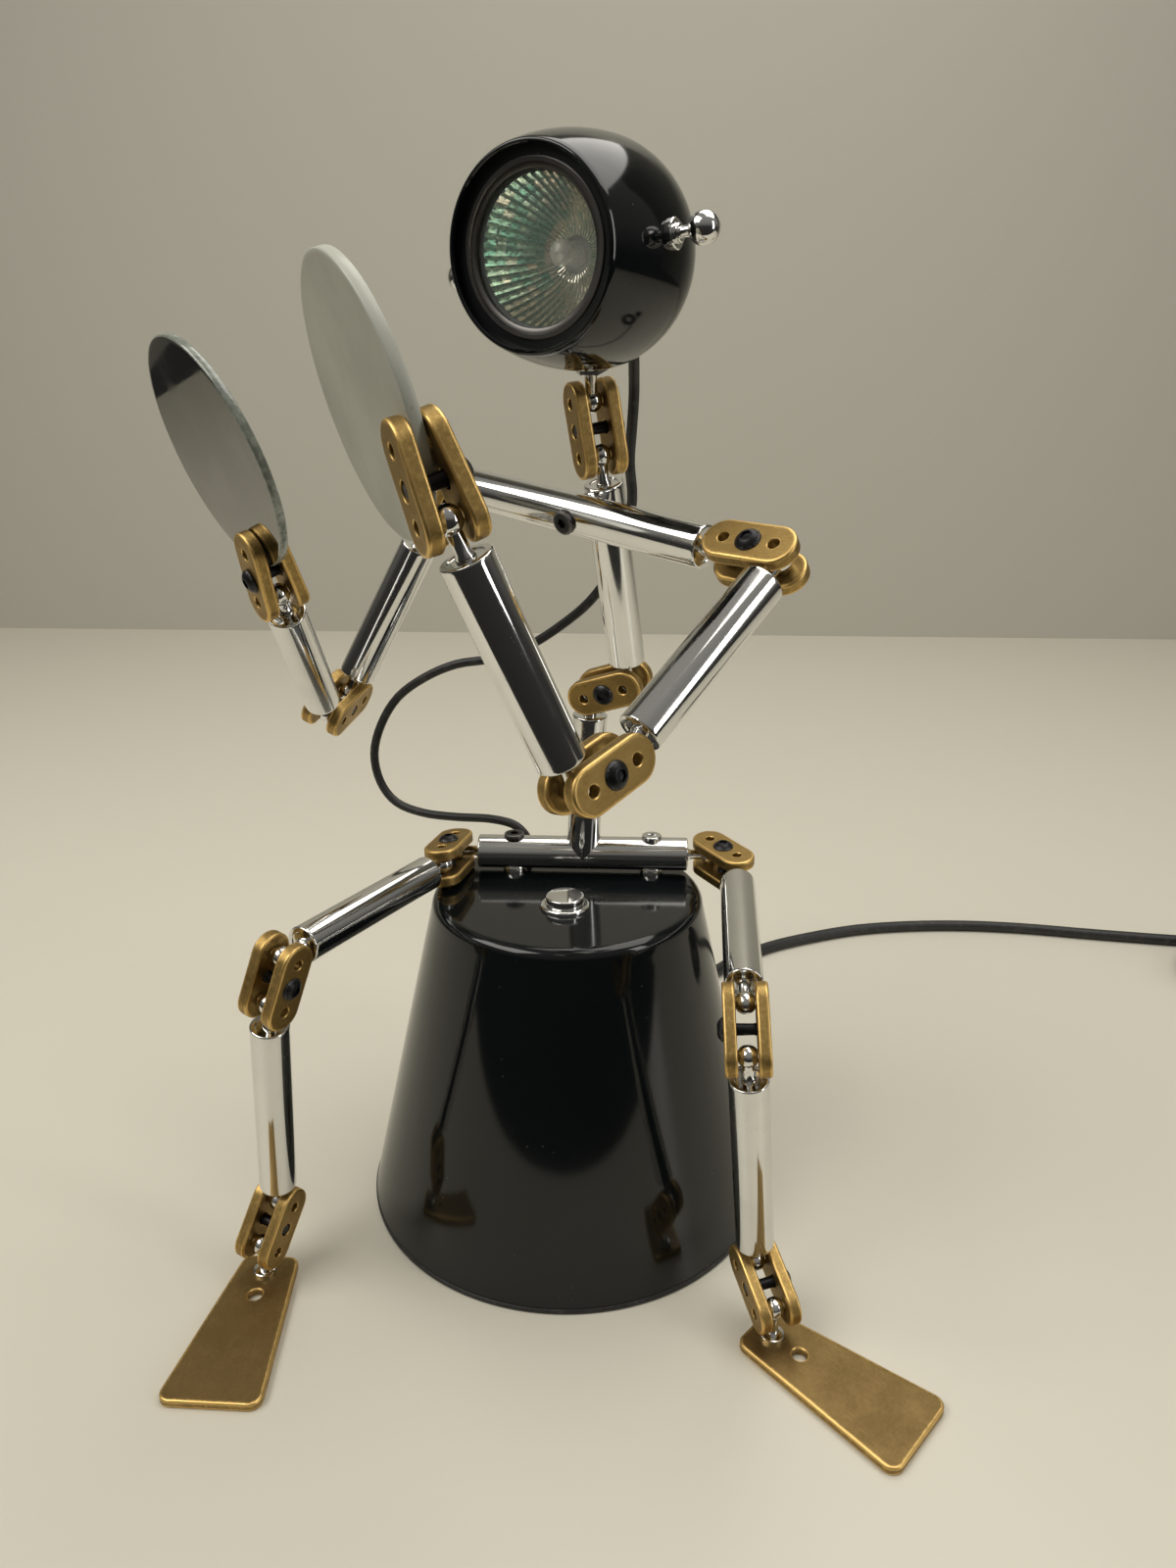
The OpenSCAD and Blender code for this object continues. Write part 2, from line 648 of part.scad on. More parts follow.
module halogen_lamp() {
    glass_t = 1.875;
    base_r = 11.25;
    cap_l = 8.75;
    rim_t = 2.75;
    back_z = lamp_z - lamp_depth;
    in_head() {
        color("lightgray") rotate_extrude($fn = 96) polygon(concat(
            [for (i = [0 : 10]) [bowl_r(i / 10) + glass_t, back_z + i / 10 * (lamp_depth - rim_t)]],
            [[lamp_d / 2, lamp_z - 1.125], [bowl_r(1), lamp_z - 1.125]],
            [for (i = [10 : -1 : 1]) [bowl_r(i / 10), back_z + i / 10 * (lamp_depth - rim_t)]],
            [[base_r - 3.75, back_z + 1.875], [base_r - 3.75, back_z]]));
        color("white") translate([0, 0, lamp_z - 1.125]) cylinder(d = lamp_d, h = 1.125, $fn = 96);
        color("white") {
            translate([0, 0, back_z]) cylinder(d = 2 * base_r - 7.5, h = 11.25);
            translate([0, 0, back_z + 11.25]) cylinder(d = 8.75, h = 10);
            translate([0, 0, back_z - cap_l + 0.001]) cylinder(d = 2 * base_r, h = cap_l - 0.001);
        }
    }
}

module ear_knobs() {
    color(CHROME) {
        difference() {
            for (s = [-1, 1]) at_ear(s) translate([0, 0, head_r - 1.5]) cylinder(d = 10, h = 3);
            in_head() rotate_extrude($fn = 96) polygon(concat(head_outline(-0.0375), [[0, rim_z]]));
        }
        for (s = [-1, 1]) at_ear(s) {
            translate([0, 0, head_r + 1.5]) cylinder(d = 6.25, h = 1.5);
            translate([0, 0, head_r - 5]) cylinder(d = 3.75, h = ear_reach - head_r + 5);
            translate([0, 0, ear_reach]) sphere(d = ear_ball_d);
            translate([0, 0, head_r - head_wall - 4]) cylinder(d = 7.5, h = 3.25, $fn = 6);
        }
    }
}

/* ---- hands ---- */
// Disc whose edge stops short of the clamp's screw
module hand_disc(d, t, lean) {
    reach = d / 2 + screw_d / 2 + near;
    translate([0, 0, clamp_pitch / 2]) rotate([lean, 0, 0]) translate([-t / 2, 0, reach])
        rotate([0, 90, 0]) cylinder(d = d, h = t, $fn = 96);
}

/* ---- feet ---- */
// Heel behind the stem at the origin, toe along +X
module foot_plate() {
    heel_x = -ankle_inset;
    toe_x = foot_l - ankle_inset;
    r = foot_corner_r;
    linear_extrude(foot_t) difference() {
        offset(r = r, $fn = 40) offset(delta = -r) polygon([
            [heel_x, -foot_heel_w / 2], [toe_x, -foot_toe_w / 2],
            [toe_x, foot_toe_w / 2], [heel_x, foot_heel_w / 2]]);
        circle(d = stem_d);
        translate([foot_hole_ahead, 0]) circle(d = foot_hole_d);
    }
}

module foot(p, turn) {
    translate([p[0], p[1], 0]) rotate([0, 0, turn]) {
        color(BRASS) foot_plate();
        color(CHROME) {
            translate([0, 0, ankle_ball_z]) sphere(d = ball_d);
            cylinder(d = stem_d, h = ankle_ball_z);
            translate([0, 0, foot_t]) cylinder(d = 10, h = 2);
        }
    }
}

/* ---- cords ---- */
FLOOR_Z = mains_d / 2;
gland_l = 32.5;
gland_seat = can_r(gland_z - mains_d / 2 - 5);
gland_end = gland_seat + gland_l;
// Stored coil: a spiral in and out again in two layers, climbing where it turns back
COIL_START = [470, 258.75];
COIL_TURN = 86;
coil_step = mains_d + 0.75;
half_turns = coil_turns / 2;
coil_in = (coil_d - half_turns * coil_step) / 2;
coil_out = coil_in + half_turns * coil_step;
coil_mid = COIL_START - coil_out * [cos(COIL_TURN), sin(COIL_TURN)];
coil_heading = [sin(COIL_TURN), -cos(COIL_TURN), 0];
plug_reach = 57.5;
ring_steps = 24;
coil_points = ring_steps * coil_turns;
function coil_radius(t) = coil_in + coil_step * abs(half_turns - t);
function coil_layer(t) = t < half_turns - 0.25 ? 0
    : t > half_turns + 0.25 ? 1 : (t - half_turns + 0.25) * 2;
function coil_point(i) = let (t = i / ring_steps, a = COIL_TURN - 360 * t)
    [coil_mid[0] + coil_radius(t) * cos(a), coil_mid[1] + coil_radius(t) * sin(a),
     FLOOR_Z + coil_layer(t) * coil_step];
coil_top = coil_point(coil_points);
COIL_LINE = concat([coil_point(0) - mains_d * coil_heading],
    [for (i = [0 : coil_points]) coil_point(i)],
    [for (s = [0.3, 0.6, 1]) coil_top + s * plug_reach * coil_heading]);
coil_gap = min([for (i = [0 : len(COIL_LINE) - 13]) for (j = [i + 12 : len(COIL_LINE) - 1])
    norm(COIL_LINE[i] - COIL_LINE[j])]) - mains_d;
echo(coil_gap = coil_gap);
// The mains cord's middle line, from the gland's end to the coil
gland_dir = [cos(gland_turn), sin(gland_turn), 0];
MAINS_ROUTE = concat(
    [for (s = [0, 3.125, 6.25]) (gland_end + s) * gland_dir + [0, 0, gland_z]],
    [[58.75, 156.25, 9.375], [68.75, 172.5, 5], [82.5, 191.25, FLOOR_Z], [102.5, 215, FLOOR_Z],
     [130, 237.5, FLOOR_Z], [163.75, 255, FLOOR_Z], [200, 268.75, FLOOR_Z], [240, 276.25, FLOOR_Z],
     [281.25, 278.75, FLOOR_Z], [322.5, 276.25, FLOOR_Z], [363.75, 270, FLOOR_Z],
     [395, 265.625, FLOOR_Z]],
    [for (s = [37.5, 15, 0]) COIL_LINE[0] - s * coil_heading]);
// The lamp lead's middle line, from the head's back down to the can's top
LEAD_EXIT = [58, -42];
LEAD_ROUTE = [
    head_mid + (head_r - 6.25) * aim(LEAD_EXIT), head_mid + (head_r + 3.75) * aim(LEAD_EXIT),
    [27.5, -6.25, 380], [27.5, -2.5, 371.25], [26.875, 1.25, 360], [26.25, 6.25, 347.5],
    [27.5, 11.25, 332.5], [25, 18.75, 317.5], [18.75, 27.5, 300], [8.75, 35, 285],
    [-5, 41.25, 272.5], [-21.25, 47.5, 261.25], [-40, 52.5, 253.75], [-57.5, 56.25, 250],
    [-73.75, 60, 242.5], [-88.75, 63.75, 231.25], [-98.75, 66.25, 216.25], [-103.75, 67.5, 200],
    [-101.25, 66.25, 185], [-92.5, 62.5, 175], [-77.5, 57.5, 171.25], [-60, 52.5, 171.25],
    [-42.5, 47.5, 172.5], [-30, 43.75, 171.25],
    [lead_hole[0] - 1.25, lead_hole[1], base_h + 10.625],
    [lead_hole[0], lead_hole[1], base_h + 6.875],
    [lead_hole[0], lead_hole[1], base_h + 5],
    [lead_hole[0], lead_hole[1], base_h + grommet_h]];

// Frames carried along a route without twist, and rings of the swept tube
function tangents(p) = [for (i = [0 : len(p) - 1])
    unit(p[min(i + 1, len(p) - 1)] - p[max(i - 1, 0)])];
function carry(t, i, n) = i == 0 ? n :
    let (m = carry(t, i - 1, n), w = m - (m * t[i]) * t[i]) unit(w);
function side_of(t) = unit(cross(t, abs(t[2]) < 0.9 ? [0, 0, 1] : [1, 0, 0]));
module swept(p, d, sides) {
    t = tangents(p);
    n0 = side_of(t[0]);
    rings = [for (i = [0 : len(p) - 1])
        let (n = carry(t, i, n0), b = cross(t[i], n))
        for (k = [0 : sides - 1]) p[i] + d / 2 * (cos(k * 360 / sides) * n + sin(k * 360 / sides) * b)];
    last = (len(p) - 1) * sides;
    polyhedron(rings, concat(
        [[for (k = [0 : sides - 1]) k]],
        [for (i = [0 : len(p) - 2]) for (k = [0 : sides - 1])
            let (a = i * sides + k, b = i * sides + (k + 1) % sides) [a, a + sides, b + sides, b]],
        [[for (k = [sides - 1 : -1 : 0]) last + k]]), convexity = 6);
}
// Points between the chosen ones, on a smooth curve through them
function smooth(p, steps) = concat([for (i = [0 : len(p) - 2]) for (s = [0 : steps - 1])
    let (u = s / steps, a = p[max(i - 1, 0)], b = p[i], c = p[i + 1], d = p[min(i + 2, len(p) - 1)])
    0.5 * (2 * b + (c - a) * u + (2 * a - 5 * b + 4 * c - d) * u * u
        + (3 * b - 3 * c + d - a) * u * u * u)],
    [p[len(p) - 1]]);

module lamp_lead() {
    color(RUBBER) swept(smooth(LEAD_ROUTE, 2), lead_d, 8);
}

module mains_cord() {
    color(RUBBER) swept(smooth(MAINS_ROUTE, 2), mains_d, 10);
}

module mains_coil() {
    color(RUBBER) swept(COIL_LINE, mains_d, 6);
}

// Two pin plug lying on the table, its pins along the cord's last heading
module mains_plug() {
    half_t = coil_top[2];
    tip = COIL_LINE[len(COIL_LINE) - 1];
    translate(tip) rotate([0, 0, COIL_TURN - 90]) rotate([0, 90, 0]) {
        color(RUBBER) {
            cylinder(d1 = mains_d + 2.5, d2 = mains_d + 6.25, h = 15);
            intersection() {
                translate([0, 0, 15]) cylinder(d = 45, h = 35);
                translate([-half_t, -25, 15]) cube([2 * half_t, 50, 35]);
            }
        }
        color("dimgray") for (s = [-1, 1]) translate([0, s * 11.875, 50]) cylinder(d = 6, h = 23.75);
    }
}

module cord_glands() {
    color(RUBBER) {
        on([0, 0, gland_z], [gland_turn, 0]) {
            translate([0, 0, gland_seat - 10]) cylinder(d = mains_d + 4.875, h = 11.25);
            translate([0, 0, gland_seat]) cylinder(d = mains_d + 10, h = 3.75);
            translate([0, 0, gland_seat + 2.5])
                cylinder(d1 = mains_d + 6.25, d2 = mains_d + 2, h = gland_l - 2.5);
        }
        translate([lead_hole[0], lead_hole[1], base_h]) {
            cylinder(d = lead_d + 7.5, h = grommet_h);
            translate([0, 0, -base_wall - 1.25]) cylinder(d = lead_d + 3.625, h = 3.75);
        }
    }
}

/* ---- assembly ---- */
base_shell();
base_plate();
foot_pad();
transformer();
switch_body();
switch_button();
pelvis_bar();
pelvis_bar_screws();
cord_glands();
on(waist_a, WAIST, WAIST_ROLL) clamp_plates();  // waist_plates
on(waist_a, WAIST, WAIST_ROLL) clamp_screw();  // waist_screw
torso();
shoulder_bar();
on(neck_a, NECK, NECK_ROLL) clamp_plates();  // neck_plates
on(neck_a, NECK, NECK_ROLL) clamp_screw();  // neck_screw
head_shell();
head_stem();
lamp_ring();
halogen_lamp();
ear_knobs();
on(right_shoulder_a, RIGHT_SHOULDER, RIGHT_SHOULDER_ROLL) clamp_plates();  // right_shoulder_plates
on(right_shoulder_a, RIGHT_SHOULDER, RIGHT_SHOULDER_ROLL) clamp_screw();  // right_shoulder_screw
on(right_shoulder_b, RIGHT_UPPER_ARM) limb(upper_arm_span);  // right_upper_arm
on(right_elbow_a, RIGHT_ELBOW, RIGHT_ELBOW_ROLL) clamp_plates();  // right_elbow_plates
on(right_elbow_a, RIGHT_ELBOW, RIGHT_ELBOW_ROLL) clamp_screw();  // right_elbow_screw
on(right_elbow_b, RIGHT_FOREARM) limb(forearm_span);  // right_forearm
on(right_wrist_a, RIGHT_WRIST, RIGHT_WRIST_ROLL) clamp_plates(mirror_t);  // right_wrist_plates
on(right_wrist_a, RIGHT_WRIST, RIGHT_WRIST_ROLL) clamp_screw(mirror_t);  // right_wrist_screw
color("slategray")  // mirror_disc
        on(right_wrist_a, RIGHT_WRIST, RIGHT_WRIST_ROLL) hand_disc(mirror_d, mirror_t, MIRROR_LEAN);
on(left_shoulder_a, LEFT_SHOULDER, LEFT_SHOULDER_ROLL) clamp_plates();  // left_shoulder_plates
on(left_shoulder_a, LEFT_SHOULDER, LEFT_SHOULDER_ROLL) clamp_screw();  // left_shoulder_screw
on(left_shoulder_b, LEFT_UPPER_ARM) limb(upper_arm_span);  // left_upper_arm
on(left_elbow_a, LEFT_ELBOW, LEFT_ELBOW_ROLL) clamp_plates();  // left_elbow_plates
on(left_elbow_a, LEFT_ELBOW, LEFT_ELBOW_ROLL) clamp_screw();  // left_elbow_screw
on(left_elbow_b, LEFT_FOREARM) limb(forearm_span);  // left_forearm
on(left_wrist_a, LEFT_WRIST, LEFT_WRIST_ROLL) clamp_plates(frosted_t);  // left_wrist_plates
on(left_wrist_a, LEFT_WRIST, LEFT_WRIST_ROLL) clamp_screw(frosted_t);  // left_wrist_screw
color("white")  // frosted_disc
        on(left_wrist_a, LEFT_WRIST, LEFT_WRIST_ROLL) hand_disc(frosted_d, frosted_t, FROSTED_LEAN);
on(right_hip_a, RIGHT_HIP, RIGHT_HIP_ROLL) clamp_plates();  // right_hip_plates
on(right_hip_a, RIGHT_HIP, RIGHT_HIP_ROLL) clamp_screw();  // right_hip_screw
on(right_hip_b, RIGHT_THIGH) limb(thigh_span);  // right_thigh
on(right_knee_a, RIGHT_KNEE, RIGHT_KNEE_ROLL) clamp_plates();  // right_knee_plates
on(right_knee_a, RIGHT_KNEE, RIGHT_KNEE_ROLL) clamp_screw();  // right_knee_screw
on(right_knee_b, RIGHT_SHIN) limb(shin_span);  // right_shin
on(right_ankle_a, RIGHT_ANKLE, RIGHT_ANKLE_ROLL) clamp_plates();  // right_ankle_plates
on(right_ankle_a, RIGHT_ANKLE, RIGHT_ANKLE_ROLL) clamp_screw();  // right_ankle_screw
foot(right_ankle_b, RIGHT_FOOT_TURN);  // right_foot
on(left_hip_a, LEFT_HIP, LEFT_HIP_ROLL) clamp_plates();  // left_hip_plates
on(left_hip_a, LEFT_HIP, LEFT_HIP_ROLL) clamp_screw();  // left_hip_screw
on(left_hip_b, LEFT_THIGH) limb(thigh_span);  // left_thigh
on(left_knee_a, LEFT_KNEE, LEFT_KNEE_ROLL) clamp_plates();  // left_knee_plates
on(left_knee_a, LEFT_KNEE, LEFT_KNEE_ROLL) clamp_screw();  // left_knee_screw
on(left_knee_b, LEFT_SHIN) limb(shin_span);  // left_shin
on(left_ankle_a, LEFT_ANKLE, LEFT_ANKLE_ROLL) clamp_plates();  // left_ankle_plates
on(left_ankle_a, LEFT_ANKLE, LEFT_ANKLE_ROLL) clamp_screw();  // left_ankle_screw
foot(left_ankle_b, LEFT_FOOT_TURN);  // left_foot
lamp_lead();
mains_cord();
mains_coil();
mains_plug();
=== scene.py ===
# %% [markdown]
# # A desk lamp shaped as a sitting robot
# The lamp is a small figure of chromed tubes and brass clamps. It sits on a black can, holds a
# round mirror and a disc of frosted glass, and its head is a lamp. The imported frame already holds
# its exact CAD pieces. Here each piece that is seen is made again as a finer mesh in the same
# place, with soft edges, wear and a real finish, and takes over from its CAD node. Lengths are in
# units of 1.25 mm, in which a tube is 12.7 across, and become metres when a mesh is made.

# %% Set up
import math

import bpy
import numpy as np
from mathutils import Matrix, Vector
from mathutils.geometry import tessellate_polygon


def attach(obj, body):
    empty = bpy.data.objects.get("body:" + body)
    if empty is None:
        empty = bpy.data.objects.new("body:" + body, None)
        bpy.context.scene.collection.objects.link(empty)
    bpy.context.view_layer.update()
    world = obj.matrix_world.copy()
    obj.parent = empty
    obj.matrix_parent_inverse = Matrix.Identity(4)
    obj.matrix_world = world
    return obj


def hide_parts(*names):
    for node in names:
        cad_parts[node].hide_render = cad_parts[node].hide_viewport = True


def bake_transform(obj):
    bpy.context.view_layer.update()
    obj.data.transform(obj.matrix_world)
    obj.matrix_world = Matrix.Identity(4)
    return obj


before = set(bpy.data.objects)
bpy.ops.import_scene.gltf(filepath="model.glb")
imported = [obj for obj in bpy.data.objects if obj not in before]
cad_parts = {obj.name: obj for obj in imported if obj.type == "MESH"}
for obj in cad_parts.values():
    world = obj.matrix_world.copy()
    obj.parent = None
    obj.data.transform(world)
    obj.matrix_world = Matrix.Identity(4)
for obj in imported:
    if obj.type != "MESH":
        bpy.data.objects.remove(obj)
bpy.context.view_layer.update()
UNIT = 0.00125

# %% [markdown]
# ## The camera
# The photograph looks down a little on the lamp through a fairly short lens. Where the eye was,
# which way it looked and its focal length in pixels come from points of the lamp matched with the
# picture. A camera can be aimed with a Track To constraint, but a matrix written from its own three
# directions also holds the picture's small roll, so that way is used.

# %% Camera
EYE = np.array([21.7, -367.8, 294.3])
FOCAL_PX = 1099.4
LOOK = np.array([-0.0362, 0.9441, -0.3276])
UP = np.array([-0.0149, 0.3272, 0.9448])
LOOK /= np.linalg.norm(LOOK)
UP -= UP.dot(LOOK) * LOOK
UP /= np.linalg.norm(UP)
RIGHT = np.cross(LOOK, UP)

lens = bpy.data.cameras.new("camera")
PHOTO_ROWS, SENSOR_H = 1600, 36.0
lens.sensor_fit = "VERTICAL"
lens.sensor_height = SENSOR_H
lens.lens = FOCAL_PX / PHOTO_ROWS * SENSOR_H
lens.clip_start = 0.01
lens.clip_end = 20
camera = bpy.data.objects.new("camera", lens)
bpy.context.scene.collection.objects.link(camera)
pose = Matrix.Identity(4)
for row in range(3):
    pose[row][0], pose[row][1], pose[row][2] = RIGHT[row], UP[row], -LOOK[row]
    pose[row][3] = EYE[row] * UNIT
camera.matrix_world = pose
bpy.context.scene.camera = camera
print(f"camera: {lens.lens:.1f} mm lens on a {SENSOR_H:.0f} mm high sensor")

# %% [markdown]
# ## Sizes and pose
# Every tube points along a pair of degrees: its turn about the vertical and its rise above the
# level. The figure is a chain, in which each ball's centre is the one before it plus a length times
# a direction. It could be posed with an armature, but the frame's bodies carry the pieces already,
# and the same numbers stand in the CAD source, so a piece made from them falls exactly on its node.

# %% Sizes, and each part's turn and rise in degrees
BASE_H, BASE_FOOT_D, BASE_TOP_D, BASE_EDGE_R = 125, 155, 101, 4
FOOT_PAD_T, BASE_WALL = 2, 1.2
BUTTON_AHEAD, BUTTON_D, BUTTON_H, BEZEL_D, BEZEL_H = 15, 14, 3.5, 18, 1.5
TUBE_R, BALL_R, STEM_R, STUD_REACH = 6.35, 3.5, 1.9, 8.7
PITCH, PLATE_T, PLATE_W, GAP = 16, 4, 13, 6.2
SCREW_D, HEAD_D, HEAD_H, SOCKET_D = 4, 7.6, 2.2, 2.9
SEAT_R = math.sqrt(BALL_R ** 2 - (GAP / 2) ** 2) + 0.04
SCREW_HOLE_D = SCREW_D + 0.3
COUNTERBORE = 0.8
MIRROR_D, MIRROR_T, MIRROR_LEAN = 67, 2.5, 15.5
FROSTED_D, FROSTED_T, FROSTED_LEAN = 64, 3, -47.9
LEAD_D, MAINS_D = 3.5, 6.1

POST, WAIST, TORSO, NECK = (-62, 84), (-24.5, 19), (-113, 71.5), (168, 80)
HEAD_STEM, LAMP_AIM, SHOULDERS, PELVIS = (-93.2, 67.6), (-118.5, -3.6), (-38, -7.4), (0, 0)
R_SHOULDER, R_UPPER, R_ELBOW = (-163, -63.4), (159.3, -58.5), (-105.8, -14.4)
R_FOREARM, R_WRIST = (-87, 45.3), (-101.5, 64.7)
L_SHOULDER, L_UPPER, L_ELBOW = (-38, -2.7), (-136.2, -36.2), (-132.2, -16.6)
L_FOREARM, L_WRIST = (-147.5, 65), (169.7, 69.2)
R_HIP, R_KNEE, R_SHIN, R_ANKLE = (-100, 3), (-145, -69), (123, -79), (-124, -57)
L_HIP, L_KNEE, L_SHIN, L_ANKLE = (-55, -4), (-88, -49), (58, -80), (-69, -27)
R_FOOT_TURN, L_FOOT_TURN = -91, -41
ROLL = {
    "waist": -78, "neck": -146, "right_shoulder": 153.6, "right_elbow": -114.5,
    "right_wrist": -36.5, "left_shoulder": -137, "left_elbow": 102, "left_wrist": -143,
    "right_hip": -176, "right_knee": 62, "right_ankle": -102,
    "left_hip": -174, "left_knee": -83, "left_ankle": 95,
}
THIGH_SPAN, SHIN_SPAN, UPPER_SPAN, FORE_SPAN = 81, 90, 74, 72
TORSO_SPAN, PELVIS_SPAN, SHOULDER_SPAN, POST_SPAN = 82, 98, 116, 66
ANKLE_BALL_Z = 14.8
BAR_AT, SADDLE_T = (5, 17.5), 1.2
SHOULDER_DROP, SHOULDER_GAP, SHOULDER_SHIFT = 14, 0.8, 0.8
HEAD_REACH, HEAD_R = 41.6, 30.4

# %% Directions and places
def aim(a):
    """Direction with turn a[0] and rise a[1]: cosines of both, sine and cosine, and the rise's sine."""
    turn, rise = math.radians(a[0]), math.radians(a[1])
    return np.array([math.cos(rise) * math.cos(turn), math.cos(rise) * math.sin(turn), math.sin(rise)])


def turned(axis, degrees):
    """Place that is turned about one axis."""
    return np.array(Matrix.Rotation(math.radians(degrees), 4, axis))


def moved(x, y, z):
    """Place that is moved."""
    m = np.eye(4)
    m[:3, 3] = (x, y, z)
    return m


def on(p, a, roll=0):
    """Place at p whose Z axis points along a, rolled about that axis."""
    return moved(*p) @ turned("Z", a[0]) @ turned("Y", 90 - a[1]) @ turned("Z", roll)


def unit(v):
    return v / np.linalg.norm(v)

# %% The chain from the pelvis bar to the head, the hands and the feet
bar_z = BASE_H + SADDLE_T + TUBE_R
bar_mid = np.array([*BAR_AT, bar_z])
waist_a = bar_mid + POST_SPAN * aim(POST)
waist_b = waist_a + PITCH * aim(WAIST)
neck_a = waist_b + TORSO_SPAN * aim(TORSO)
neck_b = neck_a + PITCH * aim(NECK)
head_mid = neck_b + HEAD_REACH * aim(HEAD_STEM)
front = unit(np.cross(aim(SHOULDERS), aim(TORSO)))
FRONT = (math.degrees(math.atan2(front[1], front[0])), math.degrees(math.asin(front[2])))
shoulder_cross = neck_a - SHOULDER_DROP * aim(TORSO)
shoulder_mid = shoulder_cross + (2 * TUBE_R + SHOULDER_GAP) * front
l_shoulder_a = shoulder_mid + (SHOULDER_SPAN / 2 - SHOULDER_SHIFT) * aim(SHOULDERS)
l_shoulder_b = l_shoulder_a + PITCH * aim(L_SHOULDER)
l_elbow_a = l_shoulder_b + UPPER_SPAN * aim(L_UPPER)
l_elbow_b = l_elbow_a + PITCH * aim(L_ELBOW)
l_wrist_a = l_elbow_b + FORE_SPAN * aim(L_FOREARM)
r_shoulder_a = shoulder_mid - (SHOULDER_SPAN / 2 + SHOULDER_SHIFT) * aim(SHOULDERS)
r_shoulder_b = r_shoulder_a + PITCH * aim(R_SHOULDER)
r_elbow_a = r_shoulder_b + UPPER_SPAN * aim(R_UPPER)
r_elbow_b = r_elbow_a + PITCH * aim(R_ELBOW)
r_wrist_a = r_elbow_b + FORE_SPAN * aim(R_FOREARM)


def leg(side, hip, thigh_turn, knee, shin, ankle):
    """The leg's balls. The thigh's rise is worked out: its sine is the height left over between
    the hip and the ankle ball, which the flat foot holds at a set height, over the thigh's span."""
    rises = [math.sin(math.radians(v[1])) for v in (hip, knee, ankle, shin)]
    drop = ANKLE_BALL_Z - bar_z - PITCH * sum(rises[:3]) - SHIN_SPAN * rises[3]
    thigh = (thigh_turn, math.degrees(math.asin(drop / THIGH_SPAN)))
    hip_a = bar_mid + side * PELVIS_SPAN / 2 * aim(PELVIS)
    hip_b = hip_a + PITCH * aim(hip)
    knee_a = hip_b + THIGH_SPAN * aim(thigh)
    knee_b = knee_a + PITCH * aim(knee)
    ankle_a = knee_b + SHIN_SPAN * aim(shin)
    return thigh, hip_a, hip_b, knee_a, knee_b, ankle_a, ankle_a + PITCH * aim(ankle)


R_THIGH, r_hip_a, r_hip_b, r_knee_a, r_knee_b, r_ankle_a, r_ankle_b = leg(
    -1, R_HIP, -119, R_KNEE, R_SHIN, R_ANKLE)
L_THIGH, l_hip_a, l_hip_b, l_knee_a, l_knee_b, l_ankle_a, l_ankle_b = leg(
    1, L_HIP, -93, L_KNEE, L_SHIN, L_ANKLE)
print("head centre", np.round(head_mid, 1), "thigh rises", round(R_THIGH[1], 1), round(L_THIGH[1], 1))

# %% [markdown]
# ## A builder for meshes
# Nearly every piece of the lamp is turned on a lathe, cut from plate or drawn through a die.
# Blender can do each with a modifier (Screw, Solidify with Bevel, a curve with a depth), but small
# arrays of points give control of every chamfer and let each point carry two more numbers: how worn
# it is, for bare bright edges, and where it lies along its own piece, so that brush marks follow
# the part. Whole rings are worked out at once with numpy.

# %% Shape
class Shape:
    """A mesh in the making: points, their places along the piece's own axes, their wear from 0 to 1,
    faces, and which finish each face has."""

    def __init__(self):
        self.co, self.local, self.wear, self.faces, self.mat = [], [], [], [], []
        self.count = 0

    def points(self, local, place, wear=0.0):
        """Adds points given along the piece's own axes and gives the number of the first."""
        local = np.asarray(local, float)
        self.co.append(local @ place[:3, :3].T + place[:3, 3])
        self.local.append(local)
        self.wear.append(np.broadcast_to(wear, len(local)).astype(float))
        self.count += len(local)
        return self.count - len(local)

    def add(self, faces, mat=0):
        """Adds faces with one finish, as an array of point numbers."""
        self.faces += np.asarray(faces).tolist()
        self.mat += [mat] * len(faces)

    def band(self, a, b, n, mat=0):
        """Four sided faces between two rings of n points, from point k to point k + 1."""
        k = np.arange(n)
        after = (k + 1) % n
        self.add(np.stack([a + k, a + after, b + after, b + k], 1), mat)

    def make(self, name, body, finishes, replaces=(), sharp=32):
        """The finished object: smooth but for edges over the sharp angle, with its place in its
        mesh. It rides a body, shows a slot and takes over its CAD nodes."""
        mesh = bpy.data.meshes.new(name)
        mesh.from_pydata((np.concatenate(self.co) * UNIT).tolist(), [], self.faces)
        mesh.polygons.foreach_set("material_index", np.array(self.mat, np.int32))
        mesh.polygons.foreach_set("use_smooth", np.ones(len(self.faces), bool))
        wear = mesh.attributes.new("wear", "FLOAT", "POINT")
        wear.data.foreach_set("value", np.concatenate(self.wear).astype(np.float32))
        local = mesh.attributes.new("local", "FLOAT_VECTOR", "POINT")
        local.data.foreach_set("vector", np.concatenate(self.local).astype(np.float32).ravel())
        for finish in finishes:
            mesh.materials.append(finish)
        mesh.update()
        mesh.set_sharp_from_angle(angle=math.radians(sharp))
        obj = bpy.data.objects.new(name, mesh)
        bpy.context.scene.collection.objects.link(obj)
        if body:
            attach(obj, body)
        if replaces:
            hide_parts(*replaces)
        print(f"{name}: {self.count} points, {len(self.faces)} faces")
        return obj

# %% [markdown]
# ## Turned pieces
# Tubes, balls, screws, the can and the head are all round about an axis. The Screw modifier or Spin
# turns an outline too, but gives no say over wear or finish along it. Here each entry of a profile
# becomes a ring of points at once, and rings that follow each other are joined by faces.

